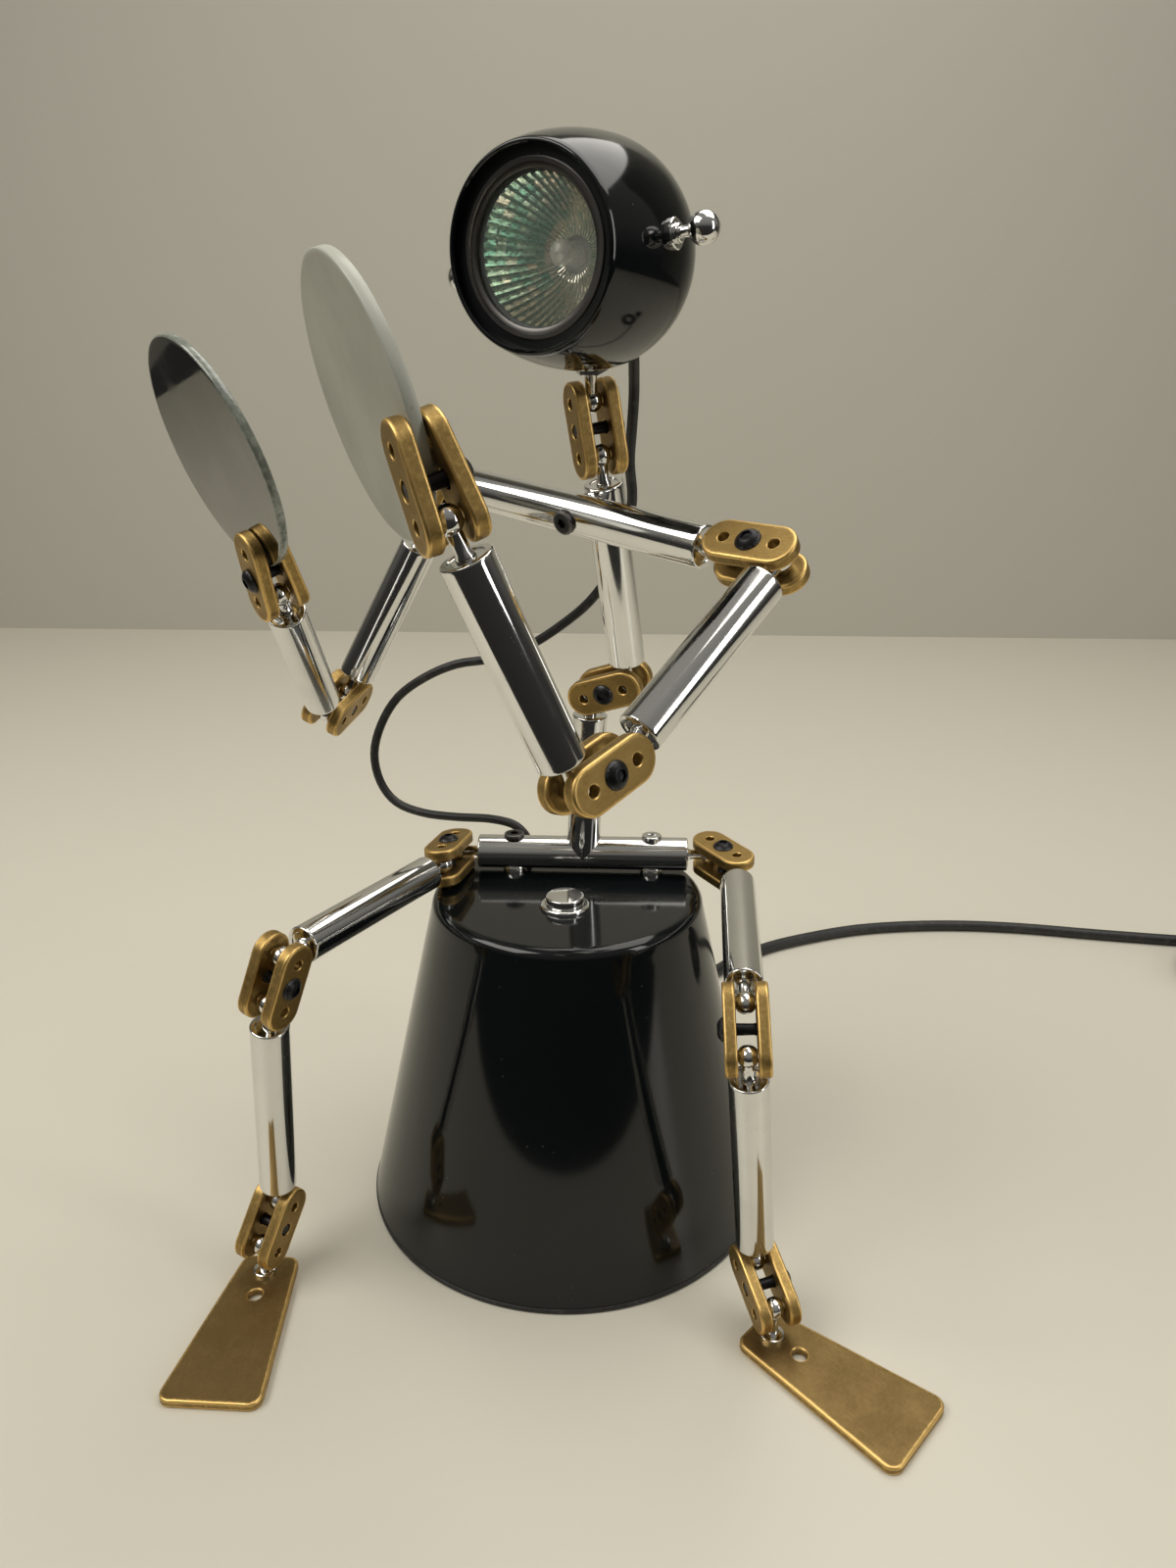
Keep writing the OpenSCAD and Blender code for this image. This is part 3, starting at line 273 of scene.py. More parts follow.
# %% Lathe
def lathe(shape, profile, place, n=48, mat=0, closed=False):
    """Surface of revolution: a point at angle a of a ring is (radius cos a, radius sin a, height).
    The profile gives (radius, height), then the wear there and the finish of the band after
    it. A radius may be a function of the angle, and one of 0 is a pole, where faces meet."""
    angle = np.arange(n) * 2 * np.pi / n
    k = np.arange(n)
    after = (k + 1) % n
    rings = []
    for r, z, *rest in profile:
        wear = rest[0] if rest else 0.0
        finish = rest[1] if len(rest) > 1 else mat
        if not callable(r) and abs(r) < 1e-6:
            rings.append((shape.points([[0, 0, z]], place, wear), 1, finish))
        else:
            radius = r(angle) if callable(r) else np.full(n, float(r))
            ring = np.stack([radius * np.cos(angle), radius * np.sin(angle), np.full(n, float(z))], 1)
            rings.append((shape.points(ring, place, wear), n, finish))
    if closed:
        rings.append(rings[0])
    for (a, na, finish), (b, nb, _) in zip(rings, rings[1:]):
        if na > 1 and nb > 1:
            shape.add(np.stack([a + after, a + k, b + k, b + after], 1), finish)
        elif na > 1:
            shape.add(np.stack([a + after, a + k, np.full(n, b)], 1), finish)
        elif nb > 1:
            shape.add(np.stack([np.full(n, a), b + k, b + after], 1), finish)

# %% [markdown]
# ## Plates
# The clamp plates, the feet and the plug's body are flat pieces with rounded corners, holes and
# soft edges. A flat curve with an extrusion and a bevel makes such a plate, but the wear has to be
# bright just on the edges and round the holes, so the outline is carried in rings over the edge,
# and only the flat faces are filled with triangles.

# %% Slab
def slab(shape, centres, radius, holes, thickness, place, bevel=0.7, mat=0, side=0.45):
    """Plate whose outline runs round equal circles, from corner to corner: a point of it is a
    centre plus the radius times (cos a, sin a). Its edges are quarter rounds, where the
    outline steps in by bevel (1 - sin b) as the height changes by bevel (1 - cos b).
    Holes are (x, y, radius, chamfer), and triangles fill the flat faces between them."""
    centres = np.array(centres, float)
    corners, angles = [], []
    for i, centre in enumerate(centres):
        before, after = centre - centres[i - 1], centres[(i + 1) % len(centres)] - centre
        a0 = math.atan2(before[1], before[0]) - math.pi / 2
        a1 = math.atan2(after[1], after[0]) - math.pi / 2
        while a1 < a0 - 1e-9:
            a1 += 2 * math.pi
        arc = np.linspace(a0, a1, max(6, int((a1 - a0) / 0.16)))
        corners.append(np.repeat(centre[None], len(arc), axis=0))
        angles.append(arc)
    corners, angles = np.concatenate(corners), np.concatenate(angles)
    ways = np.stack([np.cos(angles), np.sin(angles)], 1)
    n, flat = len(angles), 0.9

    def ring(outline, z, wear):
        return shape.points(np.column_stack([outline, np.full(len(outline), z)]), place, wear)

    edge = [(math.radians(b), wear) for b, wear in ((0, 0.75), (30, 1), (60, 1), (90, 0.8))]
    rings = [(bevel + flat, thickness, 0.0)]
    rings += [(bevel * (1 - math.sin(b)), thickness - bevel * (1 - math.cos(b)), w) for b, w in edge]
    rings += [(0.0, thickness - bevel - 0.3, side), (0.0, bevel + 0.3, side)]
    rings += [(bevel * (1 - math.sin(b)), bevel * (1 - math.cos(b)), w) for b, w in reversed(edge)]
    rings += [(bevel + flat, 0.0, 0.0)]
    firsts = [ring(corners + (radius - inset) * ways, z, wear) for inset, z, wear in rings]
    for a, b in zip(firsts, firsts[1:]):
        shape.band(b, a, n, mat)
    hole_n = 28
    turn = np.arange(hole_n) * 2 * np.pi / hole_n
    circle = np.stack([np.cos(turn), np.sin(turn)], 1)
    tops, bottoms = [], []
    for x, y, r, chamfer in holes:
        rim = r + chamfer + 0.35
        levels = [(rim, thickness, 0.0), (r + chamfer, thickness, 0.9), (r, thickness - chamfer, 0.6),
                  (r, chamfer, 0.3), (r + chamfer, 0.0, 0.9), (rim, 0.0, 0.0)]
        bore = [ring((x, y) + q * circle, z, wear) for q, z, wear in levels]
        for a, b in zip(bore, bore[1:]):
            shape.band(a, b, hole_n, mat)
        tops.append((bore[0], (x, y) + rim * circle))
        bottoms.append((bore[-1], (x, y) + rim * circle))
    for start, loops, below in ((firsts[0], tops, False), (firsts[-1], bottoms, True)):
        outlines = [corners + (radius - bevel - flat) * ways] + [loop for _, loop in loops]
        number = [start + np.arange(n)] + [first + np.arange(hole_n) for first, _ in loops]
        flat_faces = tessellate_polygon([[Vector((*v, 0)) for v in outline] for outline in outlines])
        triangles = np.array(flat_faces)
        p0, p1, p2 = (np.vstack(outlines)[triangles[:, i]] for i in range(3))
        up = (p1[:, 0] - p0[:, 0]) * (p2[:, 1] - p0[:, 1]) > (p2[:, 0] - p0[:, 0]) * (p1[:, 1] - p0[:, 1])
        triangles[up == below] = triangles[up == below][:, ::-1]
        shape.add(np.concatenate(number)[triangles], mat)

# %% [markdown]
# ## Cords
# The two leads and the lamp's filament are round wires on a path. A curve with a bevel depth is the
# usual way. A mesh swept along the points has one ring for each of them, so the path's length and
# its ends are known exactly, and it can be shared out between bodies.

# %% Sweep
def sweep(shape, path, radius, n=12, mat=0):
    """Tube along a path: a point at angle a of a ring is the path's point plus the radius times
    (cos a along one direction square to the path, sin a along the other). The first direction
    is carried on from ring to ring and squared up, so that the tube doesn't twist."""
    p = np.asarray(path, float)
    along = np.gradient(p, axis=0)
    along /= np.linalg.norm(along, axis=1)[:, None]
    carried = np.cross(along[0], [0, 0, 1] if abs(along[0][2]) < 0.9 else [1, 0, 0])
    square = []
    for t in along:
        carried = unit(carried - carried.dot(t) * t)
        square.append(carried)
    square = np.array(square)
    other = np.cross(along, square)
    angle = (np.arange(n) * 2 * np.pi / n)[:, None]
    rings = p[:, None] + radius * (np.cos(angle) * square[:, None] + np.sin(angle) * other[:, None])
    first = shape.points(rings.reshape(-1, 3), np.eye(4))
    last = first + n * (len(p) - 1)
    for a in range(first, last, n):
        shape.band(a, a + n, n, mat)
    k = np.arange(n)
    shape.add([first + k[::-1]], mat)
    shape.add([last + k], mat)

# %% Round and six sided profiles
def fillet(r, z, radius, a0, a1, steps=5, wear=0.0):
    """Arc of a profile about (r, z): r plus radius cos a, z plus radius sin a, from a0 to a1 degrees."""
    return [(r + radius * math.cos(math.radians(a)), z + radius * math.sin(math.radians(a)), wear)
            for a in np.linspace(a0, a1, steps)]


def hexagon(across):
    """Radius of a hexagon at each angle: half its width across flats over the cosine of the angle
    from the middle of the nearest side."""
    return lambda angle: across / 2 / np.cos((angle + np.pi / 6) % (np.pi / 3) - np.pi / 6)

# %% [markdown]
# ## Node sums and finishes
# A finish is a Principled shader with patterns in front of it. Nodes can be placed and wired by
# hand in the Shader Editor, but sums of masks soon take dozens of them. Here a Value wraps a node's
# output, so that 1 - mask or dust * 0.3 adds the Math nodes that work it out. Colours always go
# through Mix, because a Math node turns a colour grey. Every node comes from one method, which
# first makes its settings and then its sockets.

# %% Values
class Value:
    """An output socket that can be used in sums."""

    def __init__(self, nodes, socket):
        self.nodes, self.socket = nodes, socket

    def math(self, operation, a, b, clamp=False):
        return self.nodes.node("ShaderNodeMath", {"operation": operation, "use_clamp": clamp}, {0: a, 1: b})

    def __add__(self, other): return self.math("ADD", self, other)
    def __radd__(self, other): return self.math("ADD", other, self)
    def __sub__(self, other): return self.math("SUBTRACT", self, other)
    def __rsub__(self, other): return self.math("SUBTRACT", other, self)
    def __mul__(self, other): return self.math("MULTIPLY", self, other)
    def __rmul__(self, other): return self.math("MULTIPLY", other, self)

    def clamp(self):
        """Held between 0 and 1."""
        return self.math("ADD", self, 0.0, clamp=True)

    def ramp(self, low, high):
        """0 up to low, 1 from high on and a smooth step between. Where low is over high, it falls."""
        return self.nodes.node("ShaderNodeMapRange", {"interpolation_type": "SMOOTHSTEP"},
                               {"Value": self, "From Min": low, "From Max": high})

    def colours(self, *stops):
        """Colour by (place, colour) stops."""
        return self.nodes.node("ShaderNodeValToRGB", {"stops": stops}, {"Fac": self})

    def mix(self, a, b):
        """Colour a where this is 0, b where it is 1."""
        return self.nodes.node("ShaderNodeMix", {"data_type": "RGBA"}, {"Factor": self, 6: a, 7: b}, 2)

# %% Nodes
class Nodes:
    """A node tree, and the one method that adds nodes to it."""

    def __init__(self, tree):
        self.tree = tree

    def put(self, socket, value):
        """A link from a Value, or a number, a vector or a colour."""
        if isinstance(value, Value):
            self.tree.links.new(value.socket, socket)
        elif socket.type == "RGBA":
            socket.default_value = (*value, 1)
        else:
            socket.default_value = value

    def node(self, kind, settings, sockets, output=0):
        """Node of that type with its settings, then its sockets by name or number."""
        node = self.tree.nodes.new(kind)
        for key, value in settings.items():
            if key == "stops":
                elements = node.color_ramp.elements
                for _ in value[2:]:
                    elements.new(0.5)
                for element, (place, colour) in zip(elements, value):
                    element.position, element.color = place, (*colour, 1)
            else:
                setattr(node, key, value)
        for key, value in sockets.items():
            self.put(node.inputs[key], value)
        return Value(self, node.outputs[output])

# %% Finishes
class Finish(Nodes):
    """A material with a Principled shader and the patterns that its finishes use."""

    def __init__(self, name, colour, rough, metal=0.0, **fixed):
        self.material = bpy.data.materials.new(name)
        self.material.use_nodes = True
        super().__init__(self.material.node_tree)
        self.shader = next(n for n in self.tree.nodes if n.type == "BSDF_PRINCIPLED")
        self.set(**{"Base Color": colour, "Roughness": rough, "Metallic": metal})
        self.set(**{key.replace("_", " "): value for key, value in fixed.items()})
        self.material.diffuse_color = (*colour, 1)

    def set(self, **inputs):
        for key, value in inputs.items():
            self.put(self.shader.inputs[key], value)

    def attribute(self, name, output):
        return self.node("ShaderNodeAttribute", {"attribute_name": name}, {}, output)

    def where(self, scale=(1, 1, 1), local=False):
        """Place in units times a scale for each axis: in the frame, or along the piece's own axes."""
        if local:
            source, factor = self.attribute("local", "Vector"), 1.0
        else:
            source, factor = self.node("ShaderNodeTexCoord", {}, {}, "Object"), 1 / UNIT
        return self.node("ShaderNodeVectorMath", {"operation": "MULTIPLY"},
                         {0: source, 1: tuple(s * factor for s in scale)})

    def wear(self):
        return self.attribute("wear", "Fac")

    def noise(self, place, scale=1.0, detail=3.0, rough=0.5):
        return self.node("ShaderNodeTexNoise", {}, {"Vector": place, "Scale": scale, "Detail": detail,
                                                    "Roughness": rough}, "Fac")

    def cells(self, place, scale=1.0):
        """Distance to the nearest of points strewn about, so small near each: spots and specks."""
        return self.node("ShaderNodeTexVoronoi", {}, {"Vector": place, "Scale": scale}, "Distance")

    def bump(self, height, strength, depth):
        self.set(Normal=self.node("ShaderNodeBump", {}, {"Strength": strength, "Distance": depth * UNIT,
                                                         "Height": height}))

    def done(self):
        print(f"finish {self.material.name}: {len(self.tree.nodes)} nodes")
        return self.material

# %% [markdown]
# ## Black rubber and steel
# The cords, the pad under the can and the plug are black rubber: almost black, half dull, with a
# fine grain and pale dust lying in patches. The plug's pins, the can's bottom plate and the
# transformer are rolled steel. A picture could be wrapped round each, but noise in three dimensions
# needs no seam and is the same on every piece.

# %% Rubber and steel
def rubber(name, tone=0.012):
    """Near black that dust lifts towards grey where a broad noise is high, with a fine grain."""
    black, dust_grey = (tone, tone, tone), (0.22, 0.21, 0.19)
    f = Finish(name, black, 0.5, 0.0, Specular_IOR_Level=0.45)
    place = f.where()
    grain = f.noise(place, 2.5, 3, 0.6)
    dust = f.noise(place, 0.25, 4, 0.7).ramp(0.5, 0.75)
    f.set(**{"Base Color": (dust * 0.16).mix(black, dust_grey),
             "Roughness": (0.36 + grain * 0.16 + dust * 0.15).clamp()})
    f.bump(grain, 0.2, 0.03)
    return f.done()


def steel(name, colour=(0.42, 0.42, 0.43)):
    """Bare metal with darker clouds, and a roughness drawn out along X as rolling leaves it."""
    f = Finish(name, colour, 0.35, 1.0)
    place = f.where()
    rolled = f.noise(f.where((0.3, 8, 8)), 1.0, 3, 0.6)
    cloud = f.noise(place, 0.06, 3)
    f.set(**{"Base Color": cloud.ramp(0.35, 0.7).mix(colour, tuple(c * 0.7 for c in colour)),
             "Roughness": (0.28 + rolled * 0.2).clamp()})
    f.bump(rolled, 0.2, 0.02)
    return f.done()


RUBBER = rubber("black_rubber")
CORD = rubber("cord_sheath", tone=0.016)
STEEL = steel("steel")

# %% [markdown]
# ## The lamp's lead
# A thin black lead comes out of the head's back, hangs down behind the figure in an S and goes into
# the can's top. A curve object with a depth would draw it, but it is swept as a mesh instead, in
# four stretches that meet at places where the lead is nearly straight. The stretches ride no body.

# %% Curves
def smooth(points, steps):
    """Curve through all the points, as the CAD has it: between two of them a cubic in u from 0 to 1,
    whose slope at each is half the way from the point before it to the point after it."""
    p = np.array([np.asarray(v, float) for v in points])
    u = (np.arange(steps) / steps)[:, None]
    a, b, c, d = (v[:, None] for v in (np.vstack([p[:1], p[:-2]]), p[:-1], p[1:], np.vstack([p[2:], p[-1:]])))
    curve = 0.5 * (2 * b + (c - a) * u + (2 * a - 5 * b + 4 * c - d) * u ** 2
                   + (3 * b - 3 * c + d - a) * u ** 3)
    return np.vstack([curve.reshape(-1, 3), p[-1:]])


def run(path):
    """Length of a path: the sum of its steps."""
    return float(np.linalg.norm(np.diff(path, axis=0), axis=1).sum())

# %% Lead in four stretches
LEAD_HOLE = (-18, 33)
SUB, CORD_SIDES = 4, 16
exit_dir = aim((58, -42))
lead_points = [head_mid + (HEAD_R - 5) * exit_dir, head_mid + (HEAD_R + 3) * exit_dir,
               (22, -5, 304), (22, -2, 297), (21.5, 1, 288), (21, 5, 278), (22, 9, 266),
               (20, 15, 254), (15, 22, 240), (7, 28, 228), (-4, 33, 218), (-17, 38, 209), (-32, 42, 203),
               (-46, 45, 200), (-59, 48, 194), (-71, 51, 185), (-79, 53, 173), (-83, 54, 160), (-81, 53, 148),
               (-74, 50, 140), (-62, 46, 137), (-48, 42, 137), (-34, 38, 138), (-24, 35, 137),
               (LEAD_HOLE[0] - 1, LEAD_HOLE[1], BASE_H + 8.5), (*LEAD_HOLE, BASE_H + 5.5),
               (*LEAD_HOLE, BASE_H + 4), (*LEAD_HOLE, BASE_H + 2)]
lead = smooth(lead_points, SUB)
# Name, the bodies at its lower and upper end, and its first and last point of lead_points
STRETCHES = [("lead_head", "neck_clamp", "head", 0, 5), ("lead_neck", "torso", "neck_clamp", 5, 8),
             ("lead_torso", "waist_clamp", "torso", 8, 12), ("lead_waist", "base", "waist_clamp", 12, 27)]
for name, low, high, first, last in STRETCHES:
    path = lead[first * SUB:last * SUB + 1]
    shape = Shape()
    sweep(shape, path, LEAD_D / 2, CORD_SIDES)
    piece = shape.make(name, None, [CORD])
    if name == "lead_waist":
        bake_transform(piece)
    else:
        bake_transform(piece)
    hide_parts("lamp_lead")
print(f"lamp lead: {run(lead) * UNIT:.3f} m long")

# %% [markdown]
# ## The mains lead
# A thicker black lead leaves the can's back through a strain relief, runs over the table out of the
# picture and would end in a plug. Its far part isn't seen: it is guessed as a flat coil in two
# layers with the plug beside it, so that the lamp has a usable length of lead. A physics run could
# drop it, but a drawn path is the same each time, and matches the CAD's.

# %% Can wall and strain relief
WALL_LEAN = math.atan((BASE_FOOT_D - BASE_TOP_D) / 2 / (BASE_H - BASE_EDGE_R - FOOT_PAD_T))


def can_r(z):
    """Outer radius of the can: its foot's radius less the height over the pad times the lean's tangent."""
    return BASE_FOOT_D / 2 - (z - FOOT_PAD_T) * math.tan(WALL_LEAN)


FLOOR_Z = MAINS_D / 2
GLAND_TURN, GLAND_Z, GLAND_L = 70, 13, 26
gland_seat = can_r(GLAND_Z - MAINS_D / 2 - 4)
gland_end = gland_seat + GLAND_L

# %% Coil
COIL_START, COIL_TURN, COIL_TURNS, COIL_D, PLUG_REACH = (376, 207), 86, 6, 67, 46
COIL_GAP, RING_STEPS = 0.6, 24
coil_step = MAINS_D + COIL_GAP
half_turns = COIL_TURNS / 2
coil_in = (COIL_D - half_turns * coil_step) / 2
coil_out = coil_in + half_turns * coil_step
tau = math.radians(COIL_TURN)
coil_mid = np.array(COIL_START) - coil_out * np.array([math.cos(tau), math.sin(tau)])
coil_heading = np.array([math.sin(tau), -math.cos(tau), 0])


def coil(t):
    """Flat coil in two layers after t turns: the angle falls by a full turn for each, and the radius is
    the inner one plus a step times the turns to go to the middle, or since it. The second layer is
    one step higher."""
    a = tau - 2 * np.pi * t
    r = coil_in + coil_step * np.abs(half_turns - t)
    layer = np.clip((t - half_turns + 0.25) * 2, 0, 1)
    return np.stack([coil_mid[0] + r * np.cos(a), coil_mid[1] + r * np.sin(a),
                     FLOOR_Z + layer * coil_step], 1)


turns = coil(np.arange(RING_STEPS * COIL_TURNS + 1) / RING_STEPS)
coil_line = [turns[0] - MAINS_D * coil_heading, *turns]
coil_line += [turns[-1] + s * PLUG_REACH * coil_heading for s in (0.3, 0.6, 1)]
print(f"coil: {COIL_TURNS} turns, {2 * coil_out + MAINS_D:.1f} units across")

# %% Path and sheath
gland_dir = aim((GLAND_TURN, 0))
mains_points = [(gland_end + s) * gland_dir + [0, 0, GLAND_Z] for s in (0, 2.5, 5)]
mains_points += [(47, 125, 7.5), (55, 138, 4)]
mains_points += [(x, y, FLOOR_Z) for x, y in ((66, 153), (82, 172), (104, 190), (131, 204), (160, 215),
                                              (192, 221), (225, 223), (258, 221), (291, 216), (316, 212.5))]
mains_points += [coil_line[0] - s * coil_heading for s in (30, 12)]
mains = np.concatenate([smooth(mains_points + [coil_line[0]], SUB), coil_line[1:]])
shape = Shape()
sweep(shape, mains, MAINS_D / 2, CORD_SIDES)
mains_lead = shape.make("mains_lead", "base", [CORD], ["mains_cord", "mains_coil"])
print(f"mains lead: {run(mains) * UNIT:.3f} m long")

# %% [markdown]
# ## Plug and cord fittings
# The plug has a ribbed sleeve that keeps the lead from kinking, a flat sided body and two pins that
# are sleeved near their roots. It is guessed, as the picture doesn't show it. The ribs could be an
# array of one rib, but a profile with its steps worked out in a loop is one closed mesh. The same
# is done for the strain relief at the can's wall, and a small grommet goes round the lead in the
# can's top.

# %% Plug
SLEEVE_L, SLEEVE_RIBS, BODY_HALF_W, PIN_APART = 12, 5, 11, 19
tip = coil_line[-1]
half_t = tip[2]
plug_end = moved(*tip) @ turned("Z", COIL_TURN - 90)
shape = Shape()
sleeve = [(0, 0), (MAINS_D / 2 + 1, 0)]
for i in range(SLEEVE_RIBS):
    z, r = 1 + i * 2.1, MAINS_D / 2 + 1 + i * 0.3
    sleeve += [(r, z, 0.3), (r + 0.25, z + 0.3, 0.6), (r + 0.25, z + 1.1, 0.6), (r - 0.35, z + 1.5, 0),
               (r - 0.35, z + 2, 0)]
sleeve += [(MAINS_D / 2 + 2.4, SLEEVE_L), (0, SLEEVE_L)]
lathe(shape, sleeve, plug_end @ turned("Y", 90), 32)
slab(shape, [(4, -BODY_HALF_W), (24, -BODY_HALF_W), (24, BODY_HALF_W), (4, BODY_HALF_W)], 4, [], 2 * half_t,
            plug_end @ moved(SLEEVE_L, 0, -half_t), bevel=2.2)
for side in (-1, 1):
    pin = plug_end @ moved(40, side * PIN_APART / 2, 0) @ turned("Y", 90)
    lathe(shape, [(0, -1), (2.4, -1), (2.4, 9.6), (2.15, 9.6, 0, 1)], pin, 24)
    lathe(shape, [(0, 9, 0, 1), (2.2, 9, 0, 1)] + fillet(0.6, 17.4, 1.6, 0, 90) + [(0, 19, 0, 1)],
                 pin, 24, mat=1)
plug = shape.make("mains_plug_piece", "base", [RUBBER, STEEL], ["mains_plug"])

# %% Strain relief and grommet
RELIEF_RIBS = 8
shape = Shape()
relief = [(0, gland_seat - 8), (5, gland_seat - 8), (5, gland_seat), (MAINS_D / 2 + 4, gland_seat),
          (MAINS_D / 2 + 4, gland_seat + 2.4, 0.5), (MAINS_D / 2 + 3.4, gland_seat + 3, 0.5)]
for i in range(RELIEF_RIBS):
    u = i / RELIEF_RIBS
    z, r = gland_seat + 3 + i * 2.8, MAINS_D / 2 + 2.5 - 1.6 * u
    relief += [(r - 0.5, z + 0.05), (r - 0.5, z + 0.9), (r, z + 1.1, 0.4), (r, z + 2.6, 0.4)]
relief += [(MAINS_D / 2 + 0.6, gland_end), (0, gland_end)]
lathe(shape, relief, on((0, 0, GLAND_Z), (GLAND_TURN, 0)), 40)
lathe(shape, [(0, -2), (LEAD_D / 2 + 1.4, -2), (LEAD_D / 2 + 1.4, 0), (LEAD_D / 2 + 3, 0)]
             + fillet(LEAD_D / 2 + 1.8, 0.9, 1.1, 0, 90) + [(LEAD_D / 2 + 0.2, 1.7), (0, 1.5)],
             moved(*LEAD_HOLE, BASE_H), 32)
shape.make("cord_reliefs", "base", [RUBBER], ["cord_glands"])

# %% [markdown]
# ## Enamel, chrome and blackened steel
# The can and the head are painted in a deep glossy black that picks up dust. The tubes are chrome
# plated steel, bright but with haze, fine streaks from polishing and, on some, small rust pits. The
# screws are blackened steel with the coating rubbed off the corners. Dust and pits are cells, the
# distance to points strewn about, cut to small spots, and a broad noise says where they gather.

# %% Enamel
def enamel(name, rough=0.07):
    """Black under a clear gloss, with the faint waves of sprayed paint, pale dust specks and lint."""
    black, pale_dust = (0.004, 0.0055, 0.006), (0.35, 0.34, 0.31)
    f = Finish(name, black, rough, 0.0, Specular_IOR_Level=0.45)
    place = f.where()
    peel = f.noise(place, 0.35, 2, 0.5)
    dust = f.cells(place, 0.22).ramp(0.05, 0.02) * f.noise(place, 0.06, 2).ramp(0.45, 0.6)
    lint = f.noise(place, 2.4, 2, 0.7).ramp(0.7, 0.82)
    colour = (dust * 0.5 + lint * 0.12).clamp().mix(black, pale_dust)
    f.set(**{"Base Color": colour, "Roughness": (rough + lint * 0.12 + dust * 0.4 + peel * 0.03).clamp()})
    f.bump(peel + dust * 0.5, 0.08, 0.03)
    return f.done()

# %% Chrome
def chrome(name, pitted=0.5):
    """Mirror bright metal: haze dulls it in clouds, streaks run along the piece, pits are dark."""
    f = Finish(name, (0.66, 0.66, 0.65), 0.12, 1.0)
    place = f.where()
    haze = f.noise(place, 0.05, 4, 0.6)
    streak = f.noise(f.where((3.5, 3.5, 0.06), local=True), 1.0, 3, 0.6)
    pits = f.cells(place, 1.1).ramp(0.2, 0.06) * f.noise(place, 0.11, 3).ramp(0.62 - 0.1 * pitted, 0.72)
    dust = f.noise(place, 3.5, 2, 0.7).ramp(0.66, 0.78)
    cloudy = haze.ramp(0.4, 0.75)
    colour = (cloudy * 0.35).mix((0.74, 0.74, 0.725), (0.58, 0.58, 0.565))
    colour = (pits * 0.85).mix(colour, (0.1, 0.095, 0.09))
    colour = (dust * 0.3).mix(colour, (0.62, 0.6, 0.55))
    f.set(**{"Base Color": colour,
             "Roughness": (0.05 + cloudy * 0.06 + streak * 0.04 + pits * 0.5 + dust * 0.18).clamp()})
    f.bump(streak * 0.4 - pits * 1.2, 0.12, 0.03)
    return f.done()

# %% Blackened steel
def oxide(name):
    """Black coating that shows bright steel where the wear is high, broken up by a fine grain."""
    f = Finish(name, (0.022, 0.022, 0.024), 0.34, 0.7)
    place, worn = f.where(), f.wear()
    grain = f.noise(place, 2.2, 3, 0.6)
    rubbed = (worn + (grain - 0.5) * 1.2).ramp(0.7, 1.1)
    f.set(**{"Base Color": (rubbed * 0.6).mix((0.02, 0.02, 0.022), (0.3, 0.29, 0.28)),
             "Roughness": (0.28 + grain * 0.2).clamp()})
    f.bump(grain, 0.25, 0.02)
    return f.done()


ENAMEL = enamel("enamel")
ENAMEL_DARK = enamel("enamel_inside", rough=0.3)
CHROME = chrome("chrome")
CHROME_PITTED = chrome("chrome_pitted", pitted=1.6)
OXIDE = oxide("black_oxide")

# %% [markdown]
# ## Can and pad
# The figure sits on a tapered can of thin metal, closed by a plate under it, on a rubber pad. A
# cone with a Bevel modifier is close, but its rounded top edge is what catches the light, so the
# arc is worked out: it starts where the wall's lean meets it and ends level. The inside is made
# too, for the wall has a thickness.

# %% Can
corner = BASE_TOP_D / 2
edge_mid = (corner - BASE_EDGE_R, BASE_H - BASE_EDGE_R)
edge_arc = fillet(*edge_mid, BASE_EDGE_R, math.degrees(WALL_LEAN), 90, 12)
walls = [(can_r(z), z) for z in np.linspace(FOOT_PAD_T + 0.9, 119, 30)]
inner = BASE_WALL / math.cos(WALL_LEAN)
shape = Shape()
lathe(shape, [(can_r(FOOT_PAD_T) - inner, FOOT_PAD_T), (can_r(FOOT_PAD_T) - 0.5, FOOT_PAD_T),
              (can_r(FOOT_PAD_T) - 0.05, FOOT_PAD_T + 0.35)] + walls + edge_arc
             + [(r, BASE_H) for r in (46, 30, 15, 0)], np.eye(4), 160)
lathe(shape, [(0, BASE_H - BASE_WALL), (corner - 5, BASE_H - BASE_WALL), (can_r(110) - inner, 110),
              (can_r(60) - inner, 60), (can_r(FOOT_PAD_T) - inner, FOOT_PAD_T)], np.eye(4), 96)
shape.make("can", "base", [ENAMEL], ["base_shell"])

# %% Pad
shape = Shape()
pad_r = BASE_FOOT_D / 2 + 0.4
lathe(shape, [(0, 0), (pad_r - 0.6, 0)] + fillet(pad_r - 0.6, 0.6, 0.6, -90, 0)
             + fillet(pad_r - 0.6, FOOT_PAD_T - 0.6, 0.6, 0, 90) + [(0, FOOT_PAD_T)], np.eye(4), 160)
shape.make("base_pad", "base", [RUBBER], ["foot_pad"])

# %% [markdown]
# ## Switch
# A metal push button stands in front of the figure on the can's top: a low ring with a domed cap
# inside it, chromed like the tubes. A sphere cut off flat would give the cap's dome. Here its
# height at radius r is the dome's top less a big circle's drop, cap radius less the root of its
# square less r squared. The cap is a piece of its own, on the body that moves when it is pressed.

